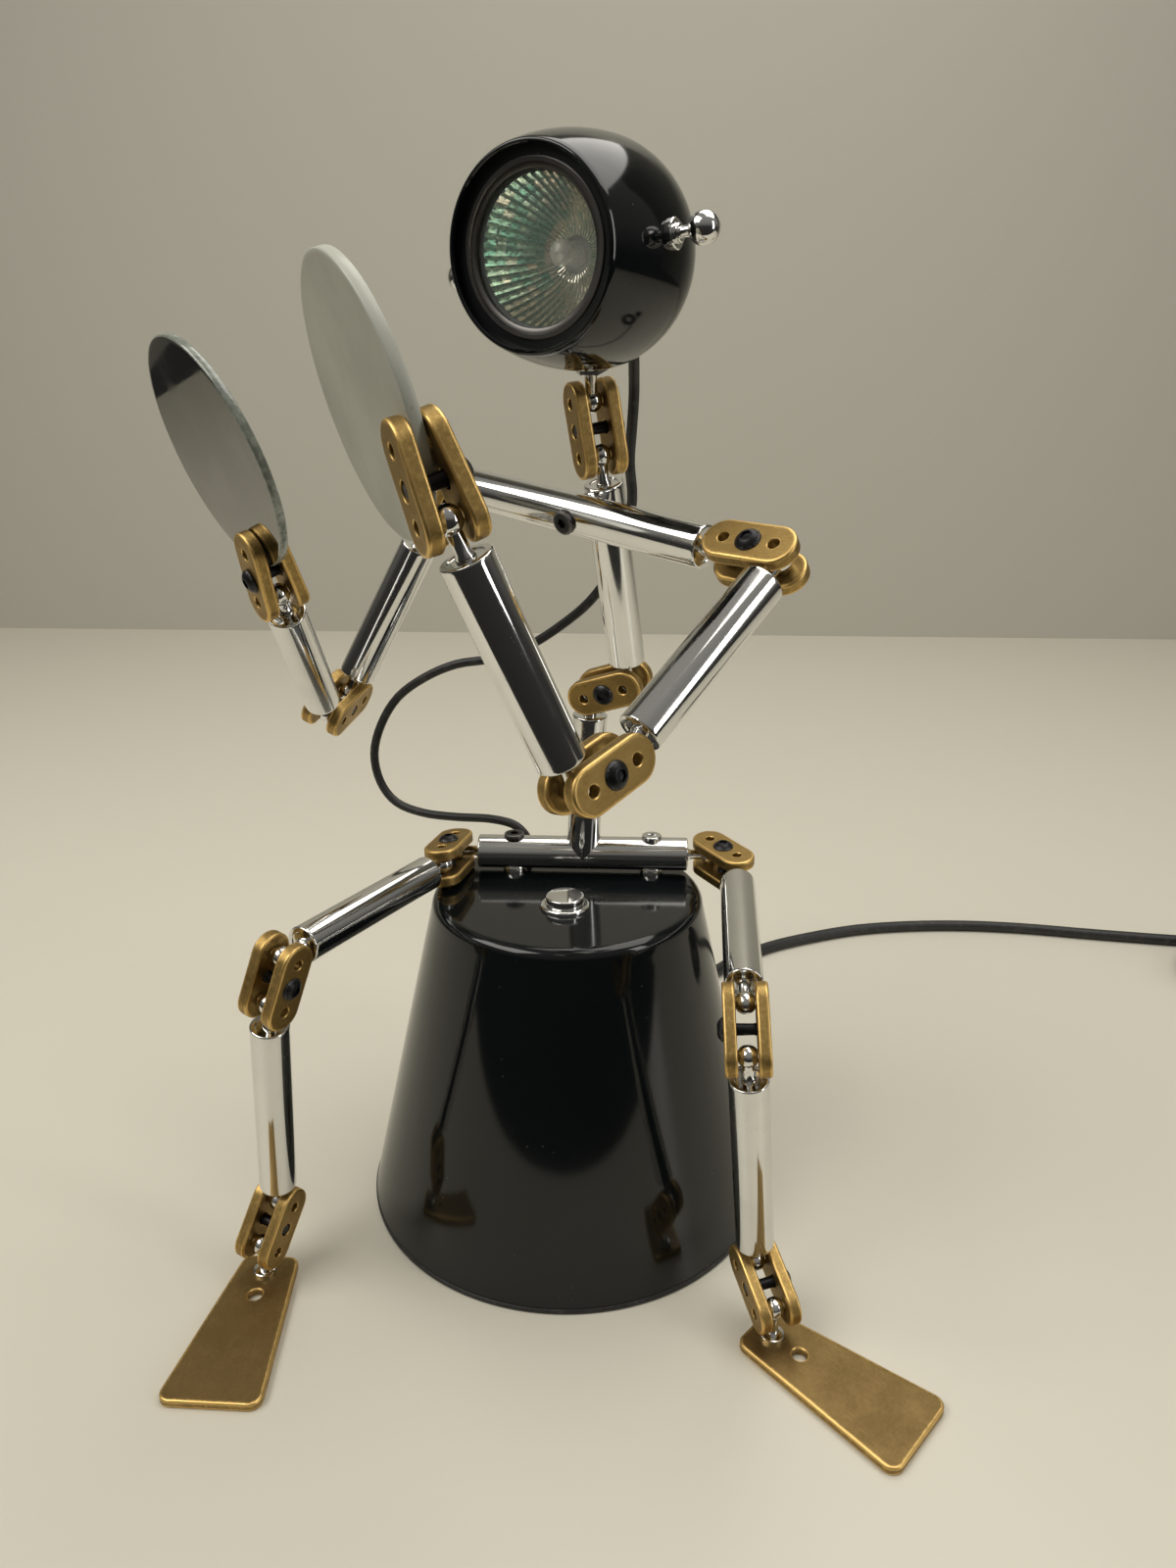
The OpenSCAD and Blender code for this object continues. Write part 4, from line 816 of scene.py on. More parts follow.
# %% Switch ring
switch_at = moved(0, -BUTTON_AHEAD, BASE_H)
shape = Shape()
lathe(shape, [(BUTTON_D / 2 + 0.05, -3), (BUTTON_D / 2 + 0.05, 1.1), (BUTTON_D / 2 + 0.4, 1.5),
              (BEZEL_D / 2 - 0.9, 1.5)] + fillet(BEZEL_D / 2 - 0.9, 0.6, 0.9, 90, 0) + [(BEZEL_D / 2, 0)],
             switch_at, 64)
lathe(shape, [(BEZEL_D / 2, 0), (BEZEL_D / 2 + 0.15, 0.12), (BEZEL_D / 2 + 0.3, 0)], switch_at, 64, mat=1)
lathe(shape, [(7.5, 0), (7.5, -8), (7, -8), (7, -26), (0, -26)], switch_at, 40, mat=1)
shape.make("switch_bezel", "base", [CHROME, OXIDE], ["switch_body"])

# %% Button
cap_r = 40
shape = Shape()
dome = [(r, BEZEL_H + BUTTON_H - cap_r + math.sqrt(cap_r ** 2 - r ** 2)) for r in np.linspace(6.1, 0, 10)]
edge_z = dome[0][1]
lathe(shape, [(0, -5.5), (2.9, -5.5), (2.9, 0.5), (6.95, 0.5), (6.95, edge_z - 0.7)]
             + fillet(6.25, edge_z - 0.7, 0.7, 0, 75) + dome, switch_at, 64)
shape.make("button_cap", "button", [CHROME], ["switch_button"])

# %% [markdown]
# ## Tubes with ball studs
# Every limb is a chrome plated tube with a steel ball on a short stem in each end, and the balls
# are what the brass clamps grip. A cylinder, two spheres and two more cylinders could be joined,
# but where they overlap the edges stay hard. One profile from ball to ball has the stem's small
# collar and the tube's chamfered, worn rim in it, and is turned in one go.

# %% Profiles of a ball and of a stud
def ball_end(centre=0.0, up=-1):
    """Ball from its pole to where the stem leaves it: radius R sin a, height centre plus or less R cos a."""
    leaves = math.pi - math.asin(STEM_R / BALL_R)
    return [(BALL_R * math.sin(a), centre + up * BALL_R * math.cos(a)) for a in np.linspace(0, leaves, 16)]


def stud_profile():
    """From the ball's pole to the tube's side: the ball, the stem with its collar, the end face and
    the tube's rim, a quarter round of radius rim sin a outwards and rim (1 - cos a) back."""
    rim, collar = 0.55, STEM_R + 0.5
    stem = [(STEM_R, STUD_REACH - 1.2), (collar, STUD_REACH - 0.35), (collar, STUD_REACH + 0.35)]
    face = [(TUBE_R - 2.0, STUD_REACH + 0.35), (TUBE_R - 1.75, STUD_REACH + 0.05, 1),
            (TUBE_R - rim, STUD_REACH, 1)]
    side = [(TUBE_R - rim + rim * math.sin(a), STUD_REACH + rim - rim * math.cos(a), 1)
            for a in np.linspace(0.3, math.pi / 2, 5)]
    return ball_end() + stem + face + side


def limb(shape, p, a, span):
    """Tube along a from the ball at p to the ball a span further on, the same at both ends."""
    half = stud_profile()
    middle = [(TUBE_R, z) for z in np.linspace(STUD_REACH + 1.2, span - STUD_REACH - 1.2, 9)]
    lathe(shape, half + middle + [(r, span - z, *rest) for r, z, *rest in reversed(half)], on(p, a), 48)

# %% Torso, arms and legs
LIMBS = [
    ("torso", "torso", waist_b, TORSO, TORSO_SPAN, CHROME),
    ("right_upper_arm", "right_upper_arm", r_shoulder_b, R_UPPER, UPPER_SPAN, CHROME_PITTED),
    ("right_forearm", "right_forearm", r_elbow_b, R_FOREARM, FORE_SPAN, CHROME),
    ("left_upper_arm", "left_upper_arm", l_shoulder_b, L_UPPER, UPPER_SPAN, CHROME),
    ("left_forearm", "left_forearm", l_elbow_b, L_FOREARM, FORE_SPAN, CHROME),
    ("right_thigh", "right_thigh", r_hip_b, R_THIGH, THIGH_SPAN, CHROME),
    ("right_shin", "right_shin", r_knee_b, R_SHIN, SHIN_SPAN, CHROME_PITTED),
    ("left_thigh", "left_thigh", l_hip_b, L_THIGH, THIGH_SPAN, CHROME),
    ("left_shin", "left_shin", l_knee_b, L_SHIN, SHIN_SPAN, CHROME_PITTED),
]
for node, body, p, a, span, finish in LIMBS:
    shape = Shape()
    limb(shape, p, a, span)
    shape.make(node + "_tube", body, [finish], [node])

# %% [markdown]
# ## Pelvis and shoulders
# Two more tubes lie across: one is screwed down on the can over two saddle washers and carries the
# spine's post, the other is screwed to the torso's front. Their screws have a hexagon socket. The
# socket could be cut with a Boolean, but a lathe whose radius is a hexagon's for the last rings
# makes a clean six sided hole in a round head.

# %% Screw head
def socket_head(shape, place, z, mat=0, flat=False):
    """Screw head from height z, flat topped or domed. The dome's height at radius q is its top less
    the crown radius plus the root of the crown's square less q squared."""
    r, h = HEAD_D / 2, HEAD_H
    crown = (r ** 2 + h ** 2) / (2 * h) + 0.2
    mouth = hexagon(SOCKET_D)
    if flat:
        top = [(r, z, 0.6), (r, z + h - 0.5, 1)] + fillet(r - 0.5, z + h - 0.5, 0.5, 0, 90, 4, 1)
        top += [(r - 1.2, z + h, 0.3), (SOCKET_D / 2 * 1.3, z + h, 0.2)]
    else:
        dome = [(q, z + h - crown + math.sqrt(crown ** 2 - q ** 2))
                for q in np.linspace(r - 0.02, SOCKET_D * 0.62, 9)]
        top = [(r - 0.1, z, 0.6), (r, z + 0.15, 0.8), (r, dome[0][1] - 0.05, 1)]
        top += [(q, v, 0.8 if i < 3 else 0.3) for i, (q, v) in enumerate(dome)]
    lip = top[-1][1]
    top += [(mouth, lip, 0.4), (mouth, z + h / 2, 0), (0, z + h / 2 - 0.3, 0)]
    lathe(shape, top, place, 48, mat)

# %% Pelvis tube and its screws
SADDLE_OUT = 26.5
shape = Shape()
limb(shape, r_hip_a, PELVIS, PELVIS_SPAN)
post_end = [(r, POST_SPAN - z, *rest) for r, z, *rest in reversed(stud_profile())]
lathe(shape, [(0, 0), (TUBE_R, 0), (TUBE_R, 20), (TUBE_R, POST_SPAN - STUD_REACH - 1.2)] + post_end,
             on(bar_mid, POST), 48)
saddles = [moved(BAR_AT[0] + s * SADDLE_OUT, BAR_AT[1], BASE_H) for s in (-1, 1)]
for place in saddles:
    lathe(shape, [(4.5, 0), (4.5, 1.9), (4.2, 2.4), (2.2, 2.4)], place, 40)
shape.make("pelvis_tube", "base", [CHROME], ["pelvis_bar"])
shape = Shape()
bar_top = SADDLE_T + 2 * TUBE_R - COUNTERBORE
for mat, place in enumerate(saddles):
    socket_head(shape, place, bar_top, mat=mat, flat=True)
    lathe(shape, [(2, bar_top), (2, -5), (0, -5)], place, 24, mat=mat)
shape.make("pelvis_screws", "base", [OXIDE, CHROME], ["pelvis_bar_screws"])

# %% Shoulder tube with its screw and spacer
shape = Shape()
limb(shape, r_shoulder_a, SHOULDERS, SHOULDER_SPAN)
socket_head(shape, on(shoulder_mid, FRONT), TUBE_R - COUNTERBORE, mat=1, flat=True)
lathe(shape, [(2, -6), (4.3, -6), (4.5, -6.2), (4.5, -7.1), (2, -7.1)], on(shoulder_mid, FRONT), 40)
shape.make("shoulder_tube", "shoulder_bar", [CHROME, OXIDE], ["shoulder_bar"])

# %% [markdown]
# ## Brass clamps
# Each joint is a pair of brass plates with round ends, pulled together on two balls by one screw.
# They look cut from bar and handled for years: brown in the middle of the faces, bright on the
# edges, with brush marks, scratches and a few dark specks. The wear that each point carries, broken
# up by noise, lights the edges, and the brush marks lie along each plate because they read its own
# axes.

# %% Brass
def brass(name, flat_colour, grain=(0.5, 6, 6), brown=0.5):
    """Flat colour darkened by patina clouds, lightened along brush marks, scratches and worn edges."""
    f = Finish(name, flat_colour, 0.4, 1.0)
    place, worn = f.where(), f.wear()
    blotch = f.noise(place, 0.09, 4, 0.6)
    fine = f.noise(place, 0.7, 4, 0.65)
    brush = f.noise(f.where(grain, local=True), 1.0, 3, 0.6)
    scratch = f.noise(f.where((0.12, 9, 9), local=True), 1.3, 2, 0.5).ramp(0.62, 0.7)
    file_marks = f.noise(f.where((7, 7, 1.2), local=True), 1.0, 2, 0.6)
    patina = (blotch * 0.75 + fine * 0.35).ramp(0.38, 0.72)
    edge = (worn + (fine - 0.5) * 0.9).ramp(0.35, 0.85)
    base = patina.mix(flat_colour, tuple(c * (1 - brown * 0.55) for c in flat_colour))
    base = (brush.ramp(0.35, 0.65) * 0.4).mix(base, tuple(min(1, c * 1.35) for c in flat_colour))
    base = (scratch * 0.4).mix(base, (0.66, 0.47, 0.2))
    base = edge.mix(base, (0.74, 0.5, 0.18))
    specks = f.cells(place, 0.55).ramp(0.16, 0.05)
    specks = specks * f.noise(place, 0.2, 2).ramp(0.52, 0.62)
    base = (specks * 0.8).mix(base, (0.1, 0.06, 0.025))
    f.set(**{"Base Color": base,
             "Roughness": (0.34 + patina * 0.16 + brush * 0.12 - edge * 0.08 + specks * 0.2).clamp()})
    f.bump(brush * 0.5 + fine * 0.35 + edge * file_marks * 1.2 - scratch * 0.5, 0.45, 0.03)
    return f.done()


BRASS = brass("brass", (0.35, 0.232, 0.08))

# %% Where the clamps are: name, body, ball, direction and what they hold
CLAMPS = [
    ("waist", "waist_clamp", waist_a, WAIST, GAP), ("neck", "neck_clamp", neck_a, NECK, GAP),
    ("right_shoulder", "right_shoulder_clamp", r_shoulder_a, R_SHOULDER, GAP),
    ("right_elbow", "right_elbow_clamp", r_elbow_a, R_ELBOW, GAP),
    ("right_wrist", "right_hand", r_wrist_a, R_WRIST, MIRROR_T),
    ("left_shoulder", "left_shoulder_clamp", l_shoulder_a, L_SHOULDER, GAP),
    ("left_elbow", "left_elbow_clamp", l_elbow_a, L_ELBOW, GAP),
    ("left_wrist", "left_hand", l_wrist_a, L_WRIST, FROSTED_T),
    ("right_hip", "right_hip_clamp", r_hip_a, R_HIP, GAP),
    ("right_knee", "right_knee_clamp", r_knee_a, R_KNEE, GAP),
    ("right_ankle", "right_ankle_clamp", r_ankle_a, R_ANKLE, GAP),
    ("left_hip", "left_hip_clamp", l_hip_a, L_HIP, GAP),
    ("left_knee", "left_knee_clamp", l_knee_a, L_KNEE, GAP),
    ("left_ankle", "left_ankle_clamp", l_ankle_a, L_ANKLE, GAP),
]

# %% Clamps with their screws
def clamp(name, body, p, a, grip):
    """Two plates and a screw. Where the grip is thinner than the gap that the balls leave, the
    plates lean in by the angle whose sine is half the difference over their length to the end."""
    place = on(p, a, ROLL[name])
    lean = math.asin(max(0, (GAP - grip) / 2 - 0.02) / (PITCH + PLATE_W / 2))
    tilt = math.degrees(lean)
    shift = (GAP + PLATE_T) / 2 * math.tan(lean)
    holes = [(0, 0, SEAT_R, 0.25), (-PITCH, 0, SEAT_R, 0.25),
             (-PITCH / 2 + shift, 0, (SCREW_HOLE_D + shift) / 2, 0.2)]
    plates = Shape()
    for angle, z in ((90 - tilt, GAP / 2), (90 + tilt, -GAP / 2 - PLATE_T)):
        slab(plates, [(-PITCH, 0), (0, 0)], PLATE_W / 2, holes, PLATE_T,
                     place @ turned("Y", angle) @ moved(0, 0, z))
    plates.make(name + "_brass", body, [BRASS], [name + "_plates"], sharp=40)
    head_x = (GAP / 2 + PLATE_T) * math.cos(lean) - (PITCH - HEAD_D) / 2 * math.sin(lean)
    tail_x = (GAP / 2 + PLATE_T) * math.cos(lean) - PITCH / 2 * math.sin(lean) - 0.3
    screw = Shape()
    along = place @ moved(0, 0, PITCH / 2) @ turned("Y", 90)
    socket_head(screw, along, head_x)
    threads = [(0, -tail_x, 0.4), (1.6, -tail_x, 0.4), (2, -tail_x + 0.4, 0.8)]
    threads += [(2 if i % 2 == 0 else 1.75, -tail_x + 0.7 + i * 0.35) for i in range(12)]
    lathe(screw, threads + [(2, head_x)], along, 32)
    screw.make(name + "_bolt", body, [OXIDE], [name + "_screw"])


for entry in CLAMPS:
    clamp(*entry)

# %% [markdown]
# ## Hands
# One hand is a round mirror, the other a disc of frosted glass. Both have ground edges, and the
# clamp grips them at the rim. A cylinder with a Bevel modifier would do for the shape, but the
# ground edge is a finish of its own, and the wear on it makes the frosted edge smoother and
# brighter than the face. The mirror's colour is dark because it faces a dark room in the picture.

# %% Mirror, frosted glass and ground edge
def satin_glass(name):
    """Pale and rough, slightly clear: clouds in the tone, smoother at the worn rim, a few dark marks."""
    f = Finish(name, (0.72, 0.73, 0.69), 0.5, 0.0, Specular_IOR_Level=0.4)
    place, worn = f.where(), f.wear()
    cloud = f.noise(place, 0.035, 3, 0.55)
    grit = f.noise(place, 5.0, 2, 0.6)
    marks = f.cells(place, 0.16).ramp(0.06, 0.02)
    tone = cloud.ramp(0.3, 0.7).mix((0.44, 0.437, 0.37), (0.52, 0.517, 0.44))
    tone = (worn * 0.6).mix(tone, (0.55, 0.57, 0.5))
    tone = (marks * 0.6).mix(tone, (0.3, 0.27, 0.22))
    f.set(**{"Base Color": tone, "Roughness": (0.42 + grit * 0.16 - worn * 0.2).clamp(),
             "Alpha": (0.9 + worn * 0.08 + cloud * 0.06).clamp()})
    f.bump(grit, 0.12, 0.02)
    return f.done()


def mirror_face(name):
    """Nearly flat mirror, darkened as a painted reflection of a dark room, with smears and small dull specks.
    """
    # Painted reflection: the mirror's colour is darkened to 0.25 to stand for the dark room it faces.
    painted_dark_reflection, dust = (0.25, 0.25, 0.24), (0.6, 0.6, 0.57)
    f = Finish(name, painted_dark_reflection, 0.03, 1.0)
    place = f.where()
    smear = f.noise(place, 0.05, 4, 0.6).ramp(0.45, 0.75)
    specks = f.cells(place, 0.3).ramp(0.06, 0.02)
    f.set(**{"Base Color": (specks * 0.5 + smear * 0.12).clamp().mix(painted_dark_reflection, dust),
             "Roughness": (0.03 + smear * 0.05 + specks * 0.4).clamp()})
    return f.done()


def glass_edge(name):
    """Ground glass edge: a dark green grey under a soft shine, with a cloudy tone."""
    f = Finish(name, (0.24, 0.26, 0.22), 0.12, 0.0, Specular_IOR_Level=0.9)
    ground = f.noise(f.where(), 0.5, 3, 0.6)
    f.set(**{"Base Color": ground.ramp(0.35, 0.7).mix((0.2, 0.22, 0.19), (0.33, 0.36, 0.31)),
             "Roughness": (0.08 + ground * 0.12).clamp()})
    f.bump(ground, 0.06, 0.02)
    return f.done()


SATIN = satin_glass("satin_glass")
MIRROR = mirror_face("mirror_face")
GLASS_EDGE = glass_edge("glass_edge")

# %% Discs
def disc(name, body, p, a, roll, d, t, lean, finishes, node, chamfer):
    """Disc held at its rim by the clamp's screw: a flat profile with two small steps at each edge,
    which stands in for a ground round."""
    place = on(p, a, roll) @ moved(0, 0, PITCH / 2) @ turned("X", lean)
    place = place @ moved(-t / 2, 0, d / 2 + SCREW_D / 2 + 0.3) @ turned("Y", 90)
    r = d / 2
    faces = [(q, 0) for q in np.linspace(0, r - chamfer - 0.8, 8)] + [(r - chamfer, 0, 0.5, 1)]
    rim = [(r - chamfer * 0.3, chamfer * 0.35, 1, 1), (r, chamfer, 1, 1), (r, t / 2, 1, 1),
           (r, t - chamfer, 1, 1), (r - chamfer * 0.3, t - chamfer * 0.35, 1, 1), (r - chamfer, t, 0.5)]
    back = [(q, t) for q in np.linspace(r - chamfer - 0.8, 0, 8)]
    shape = Shape()
    lathe(shape, faces + rim + back, place, 128)
    return shape.make(name, body, finishes, [node], sharp=50)


disc("mirror_glass", "right_hand", r_wrist_a, R_WRIST, ROLL["right_wrist"], MIRROR_D, MIRROR_T, MIRROR_LEAN,
     [MIRROR, GLASS_EDGE], "mirror_disc", 0.5)
disc("satin_disc", "left_hand", l_wrist_a, L_WRIST, ROLL["left_wrist"], FROSTED_D, FROSTED_T, FROSTED_LEAN,
     [SATIN, SATIN], "frosted_disc", 0.4)

# %% [markdown]
# ## Feet
# The feet are flat brass plates, wider at the toes, with a small hole ahead of the ankle and a
# steel ball on a post near the heel. The outline is a trapezoid with rounded corners. Its corner
# circles' centres lie inside the straight sides by the radius over the cosine of the side's slope,
# less or more what the side gains over that radius, so the plate has just the width that was
# measured at each end. A Bevel modifier would round the corners too, but not to a set radius on a
# slope.

# %% Feet
BRASS_FOOT = brass("brass_foot", (0.245, 0.165, 0.066), grain=(5, 0.35, 5), brown=0.35)
FOOT_L, HEEL_W, TOE_W, FOOT_T, CORNER_R, ANKLE_INSET = 62, 20, 34, 3, 4, 7.5
HOLE_AHEAD, HOLE_D = 10.8, 5
for name, body, p, turn in (("right_foot", "right_foot", r_ankle_b, R_FOOT_TURN),
                            ("left_foot", "left_foot", l_ankle_b, L_FOOT_TURN)):
    place = moved(p[0], p[1], 0) @ turned("Z", turn)
    x0, x1, r = -ANKLE_INSET + CORNER_R, FOOT_L - ANKLE_INSET - CORNER_R, CORNER_R
    slope = math.atan((TOE_W - HEEL_W) / 2 / FOOT_L)
    in_y = r * (1 / math.cos(slope) - math.tan(slope))
    heel_y, toe_y = HEEL_W / 2 - in_y, TOE_W / 2 - r * (1 / math.cos(slope) + math.tan(slope))
    shape = Shape()
    slab(shape, [(x0, -heel_y), (x1, -toe_y), (x1, toe_y), (x0, heel_y)], r,
                [(HOLE_AHEAD, 0, HOLE_D / 2, 0.4)], FOOT_T, place, bevel=0.7, mat=0)
    lathe(shape, ball_end(ANKLE_BALL_Z, 1)
                 + [(STEM_R, 6), (STEM_R, 4.6), (STEM_R + 0.6, 4.6), (3.6, 4.6, 1), (4, 4.3, 1), (4, FOOT_T)],
                 place, 40, mat=1)
    shape.make(name + "_piece", body, [BRASS_FOOT, CHROME], [name], sharp=40)

# %% [markdown]
# ## Head shell
# The head is an enamelled steel ball, cut off in front and drawn out into a short collar around the
# lamp. A sphere with its front deleted would lack the collar, so the profile is in two parts: half
# a circle of the head's radius behind, and in front an arc three times as large that leaves it
# without a kink, radius less the large one plus the root of its square less the height squared. The
# lip is rolled and the inside is dull.

# %% Head shell
head_place = moved(*head_mid) @ turned("Z", LAMP_AIM[0]) @ turned("Y", 90 - LAMP_AIM[1])
WALL, ARC_R, RIM_Z = 1.2, 3 * HEAD_R, 0.99 * HEAD_R
RING_Z = RIM_Z - 2.8
LAMP_Z = RING_Z - 1.5
LAMP_D, LAMP_DEPTH, RING_OPEN = 40, 30, 37.6


def outline_r(z, inset=0.0):
    """Radius at height z: the root of R squared less z squared behind, the larger arc in front."""
    if z <= 0:
        return math.sqrt(max(0, (HEAD_R - inset) ** 2 - z * z))
    return HEAD_R - ARC_R + math.sqrt((ARC_R - inset) ** 2 - z * z)


outer = [(0, -HEAD_R)]
outer += [(outline_r(-HEAD_R * math.sin(a)), -HEAD_R * math.sin(a))
          for a in np.linspace(math.pi / 2, 0, 26)[1:]]
outer += [(outline_r(z), z) for z in np.linspace(0.8, RIM_Z - 0.5, 20)]
lip_r, back_r = outline_r(RIM_Z), HEAD_R - WALL
lip = [(lip_r - 0.1, RIM_Z - 0.15, 1), (lip_r - 0.45, RIM_Z, 1), (lip_r - 0.85, RIM_Z, 1),
       (lip_r - 1.15, RIM_Z - 0.35, 1)]
inside = [(outline_r(z, WALL), z) for z in np.linspace(RIM_Z - 1, 0, 8)]
inside += [(back_r * math.cos(a), -back_r * math.sin(a)) for a in np.linspace(0.1, math.pi / 2 - 0.01, 12)]
shape = Shape()
lathe(shape, outer + lip + [(r, z, 0, 1) for r, z in inside] + [(0, -back_r)], head_place, 128)
shape.make("head_ball", "head", [ENAMEL, ENAMEL_DARK], ["head_shell"])

# %% [markdown]
# ## Lamp ring and neck stud
# Inside the lip a black ring holds the lamp, with a bright turned step at its opening. The head
# stands on a ball stud like the tubes' and a nut under the shell. Both are lathe profiles, the
# ring's a closed one, and the nut uses the hexagon for its radius, with a chamfer where its corners
# are cut back.

# %% Ring
RING_METAL = steel("ring_metal", colour=(0.13, 0.125, 0.12))
ring_out = outline_r(RING_Z, WALL) - 0.05
step_r = RING_OPEN / 2
shape = Shape()
lathe(shape, [(ring_out, LAMP_Z), (ring_out, RING_Z), (step_r + 2.8, RING_Z),
              (step_r + 2.75, RING_Z + 0.35, 1, 1), (step_r + 2.5, RING_Z + 0.5, 1, 1),
              (step_r + 1.5, RING_Z + 0.45, 0, 1), (step_r + 1.3, RING_Z - 0.1, 0.3, 1),
              (step_r + 0.4, RING_Z - 0.2, 1, 1), (step_r, RING_Z - 0.5, 1, 1), (step_r, LAMP_Z)],
             head_place, 128, closed=True)
shape.make("lamp_bezel", "head", [ENAMEL_DARK, RING_METAL], ["lamp_ring"])

# %% Neck stud with its nut
stem_place = on(neck_b, HEAD_STEM)
nut_z = HEAD_REACH - HEAD_R - 1.7
shape = Shape()
lathe(shape, ball_end() + [(STEM_R, nut_z), (STEM_R, HEAD_REACH - HEAD_R + 6)], stem_place, 40)
lathe(shape, [(STEM_R, nut_z), (hexagon(8.6), nut_z, 1), (hexagon(9.5), nut_z + 0.3, 1),
              (hexagon(9.5), nut_z + 1.6), (STEM_R, nut_z + 1.6)], stem_place, 48)
shape.make("neck_stud", "head", [CHROME], ["head_stem"])

# %% [markdown]
# ## Reflector lamp
# The lamp is a small halogen one: a glass bowl of mirrored facets with a coating that shines green
# from one side and gold from the other, a quartz capsule in its middle, and a clear cover. The
# green side is a painted reflection, set in the facets' colour on one fixed side of the bowl. The
# facets could be a bump pattern, but each one has to throw back its own bright spot, so they are
# real: a grid of small crowned patches in a parabola. The coating's tint rides in the wear value,
# where a colour ramp reads it.

# %% Coated mirror, clear glass and cement
def reflector(name):
    """Metal whose colour runs from green through silver to gold by the value in wear, which here holds the
    facets' tint with a painted reflection green on one side.
    """
    f = Finish(name, (0.8, 0.8, 0.7), 0.14, 1.0)
    place = f.where()
    tint = f.wear()
    hue = tint.colours((0.0, (0.16, 0.42, 0.34)), (0.3, (0.42, 0.6, 0.5)), (0.5, (0.84, 0.79, 0.68)),
                       (1.0, (0.92, 0.78, 0.58)))
    haze = f.noise(place, 0.9, 3, 0.6)
    f.set(**{"Base Color": (haze.ramp(0.4, 0.8) * 0.3).mix(hue, (0.6, 0.58, 0.5)),
             "Roughness": (0.06 + haze * 0.12).clamp()})
    return f.done()


def clear_glass(name, alpha=0.1, tint=(0.85, 0.95, 0.9)):
    """Glossy and mostly see through, smeared in places."""
    f = Finish(name, tint, 0.03, 0.0, Specular_IOR_Level=1.0)
    place = f.where()
    smear = f.noise(place, 0.12, 4, 0.6).ramp(0.45, 0.75)
    f.set(**{"Roughness": (0.02 + smear * 0.08).clamp(), "Alpha": (alpha + smear * 0.06).clamp()})
    return f.done()


REFLECTOR = reflector("lamp_reflector")
LENS = clear_glass("lamp_lens")
CAPSULE = clear_glass("lamp_capsule", alpha=0.3, tint=(0.95, 0.95, 0.9))
CERAMIC = rubber("lamp_cement", tone=0.5)

# %% Facets
SECTORS, ROWS, CUT = 44, 8, 4
GREEN_FROM = 245
bowl_top, bowl_h, bowl_out, mouth_r = LAMP_Z - 2.2, 18.0, LAMP_D / 2 - 1.5, 4.8
row_edges = np.linspace(0.0, 1.0, ROWS + 1) ** 1.5


def bowl(t):
    """Radius and height of the bowl, close to a parabola: the radius grows with t to the power 0.56
    from the mouth at 0 to the rim at 1, and the height with t."""
    return mouth_r + (bowl_out - mouth_r) * t ** 0.56, bowl_top - bowl_h * (1 - t)


def facets(draws):
    """Points of every facet over u round the bowl and v up it, and each facet's tint. A facet bulges
    in by its lift, a parabola in u times one in v, less near the mouth, mostly inwards and a
    little up. The tint is lower, so greener, on the side that faces away from the light."""
    row, sector, v, u = np.meshgrid(np.arange(ROWS), np.arange(SECTORS), np.linspace(0, 1, CUT + 1),
                                    np.linspace(0, 1, CUT + 1), indexing="ij")
    t = row_edges[row] + (row_edges[row + 1] - row_edges[row]) * v
    bulge = 0.42 + 0.12 * draws[:, :, 1, None, None]
    lift = bulge * (1 - (2 * u - 1) ** 2) * (0.55 + 0.45 * (1 - (2 * v - 1) ** 2)) * (0.35 + 0.65 * t)
    phi = 2 * np.pi * (sector + u) / SECTORS
    q, z = bowl(t)
    q = q - lift * 0.75
    # Painted reflection: the coating's green is painted on one fixed side of the bowl by lowering the tint
    # there.
    facing = np.maximum(0, np.cos(2 * np.pi * np.arange(SECTORS) / SECTORS - math.radians(GREEN_FROM)))
    painted_green_side = 0.5 * facing * (np.arange(ROWS) > 1)[:, None]
    tint = np.clip(0.62 + 0.14 * draws[:, :, 0] - painted_green_side, 0, 1)
    return np.stack([q * np.cos(phi), q * np.sin(phi), z + lift * 0.65], -1), tint


rng = np.random.default_rng(7)
draws = np.array([(rng.standard_normal(), rng.random()) for _ in range(ROWS * SECTORS)])
points, tint = facets(draws.reshape(ROWS, SECTORS, 2))
side = CUT + 1
shape = Shape()
first = shape.points(points.reshape(-1, 3), head_place, np.repeat(tint.ravel(), side * side))
facet, y, x = np.mgrid[0:ROWS * SECTORS, 0:CUT, 0:CUT]
at = first + facet * side * side + y * side + x
shape.add(np.stack([at, at + 1, at + side + 1, at + side], -1).reshape(-1, 4))
print(f"reflector: {ROWS * SECTORS} facets, tint {tint.min():.2f} to {tint.max():.2f}")

# %% Bowl's back, rim, cement, capsule with its filament and cover
back_z = LAMP_Z - LAMP_DEPTH
base_z = bowl_top - bowl_h


def shell_r(t):
    """Radius of the bowl's glass behind the mirror, 9 at the back and growing with t to the power 0.62."""
    return 9 + (bowl_out - 9) * t ** 0.62


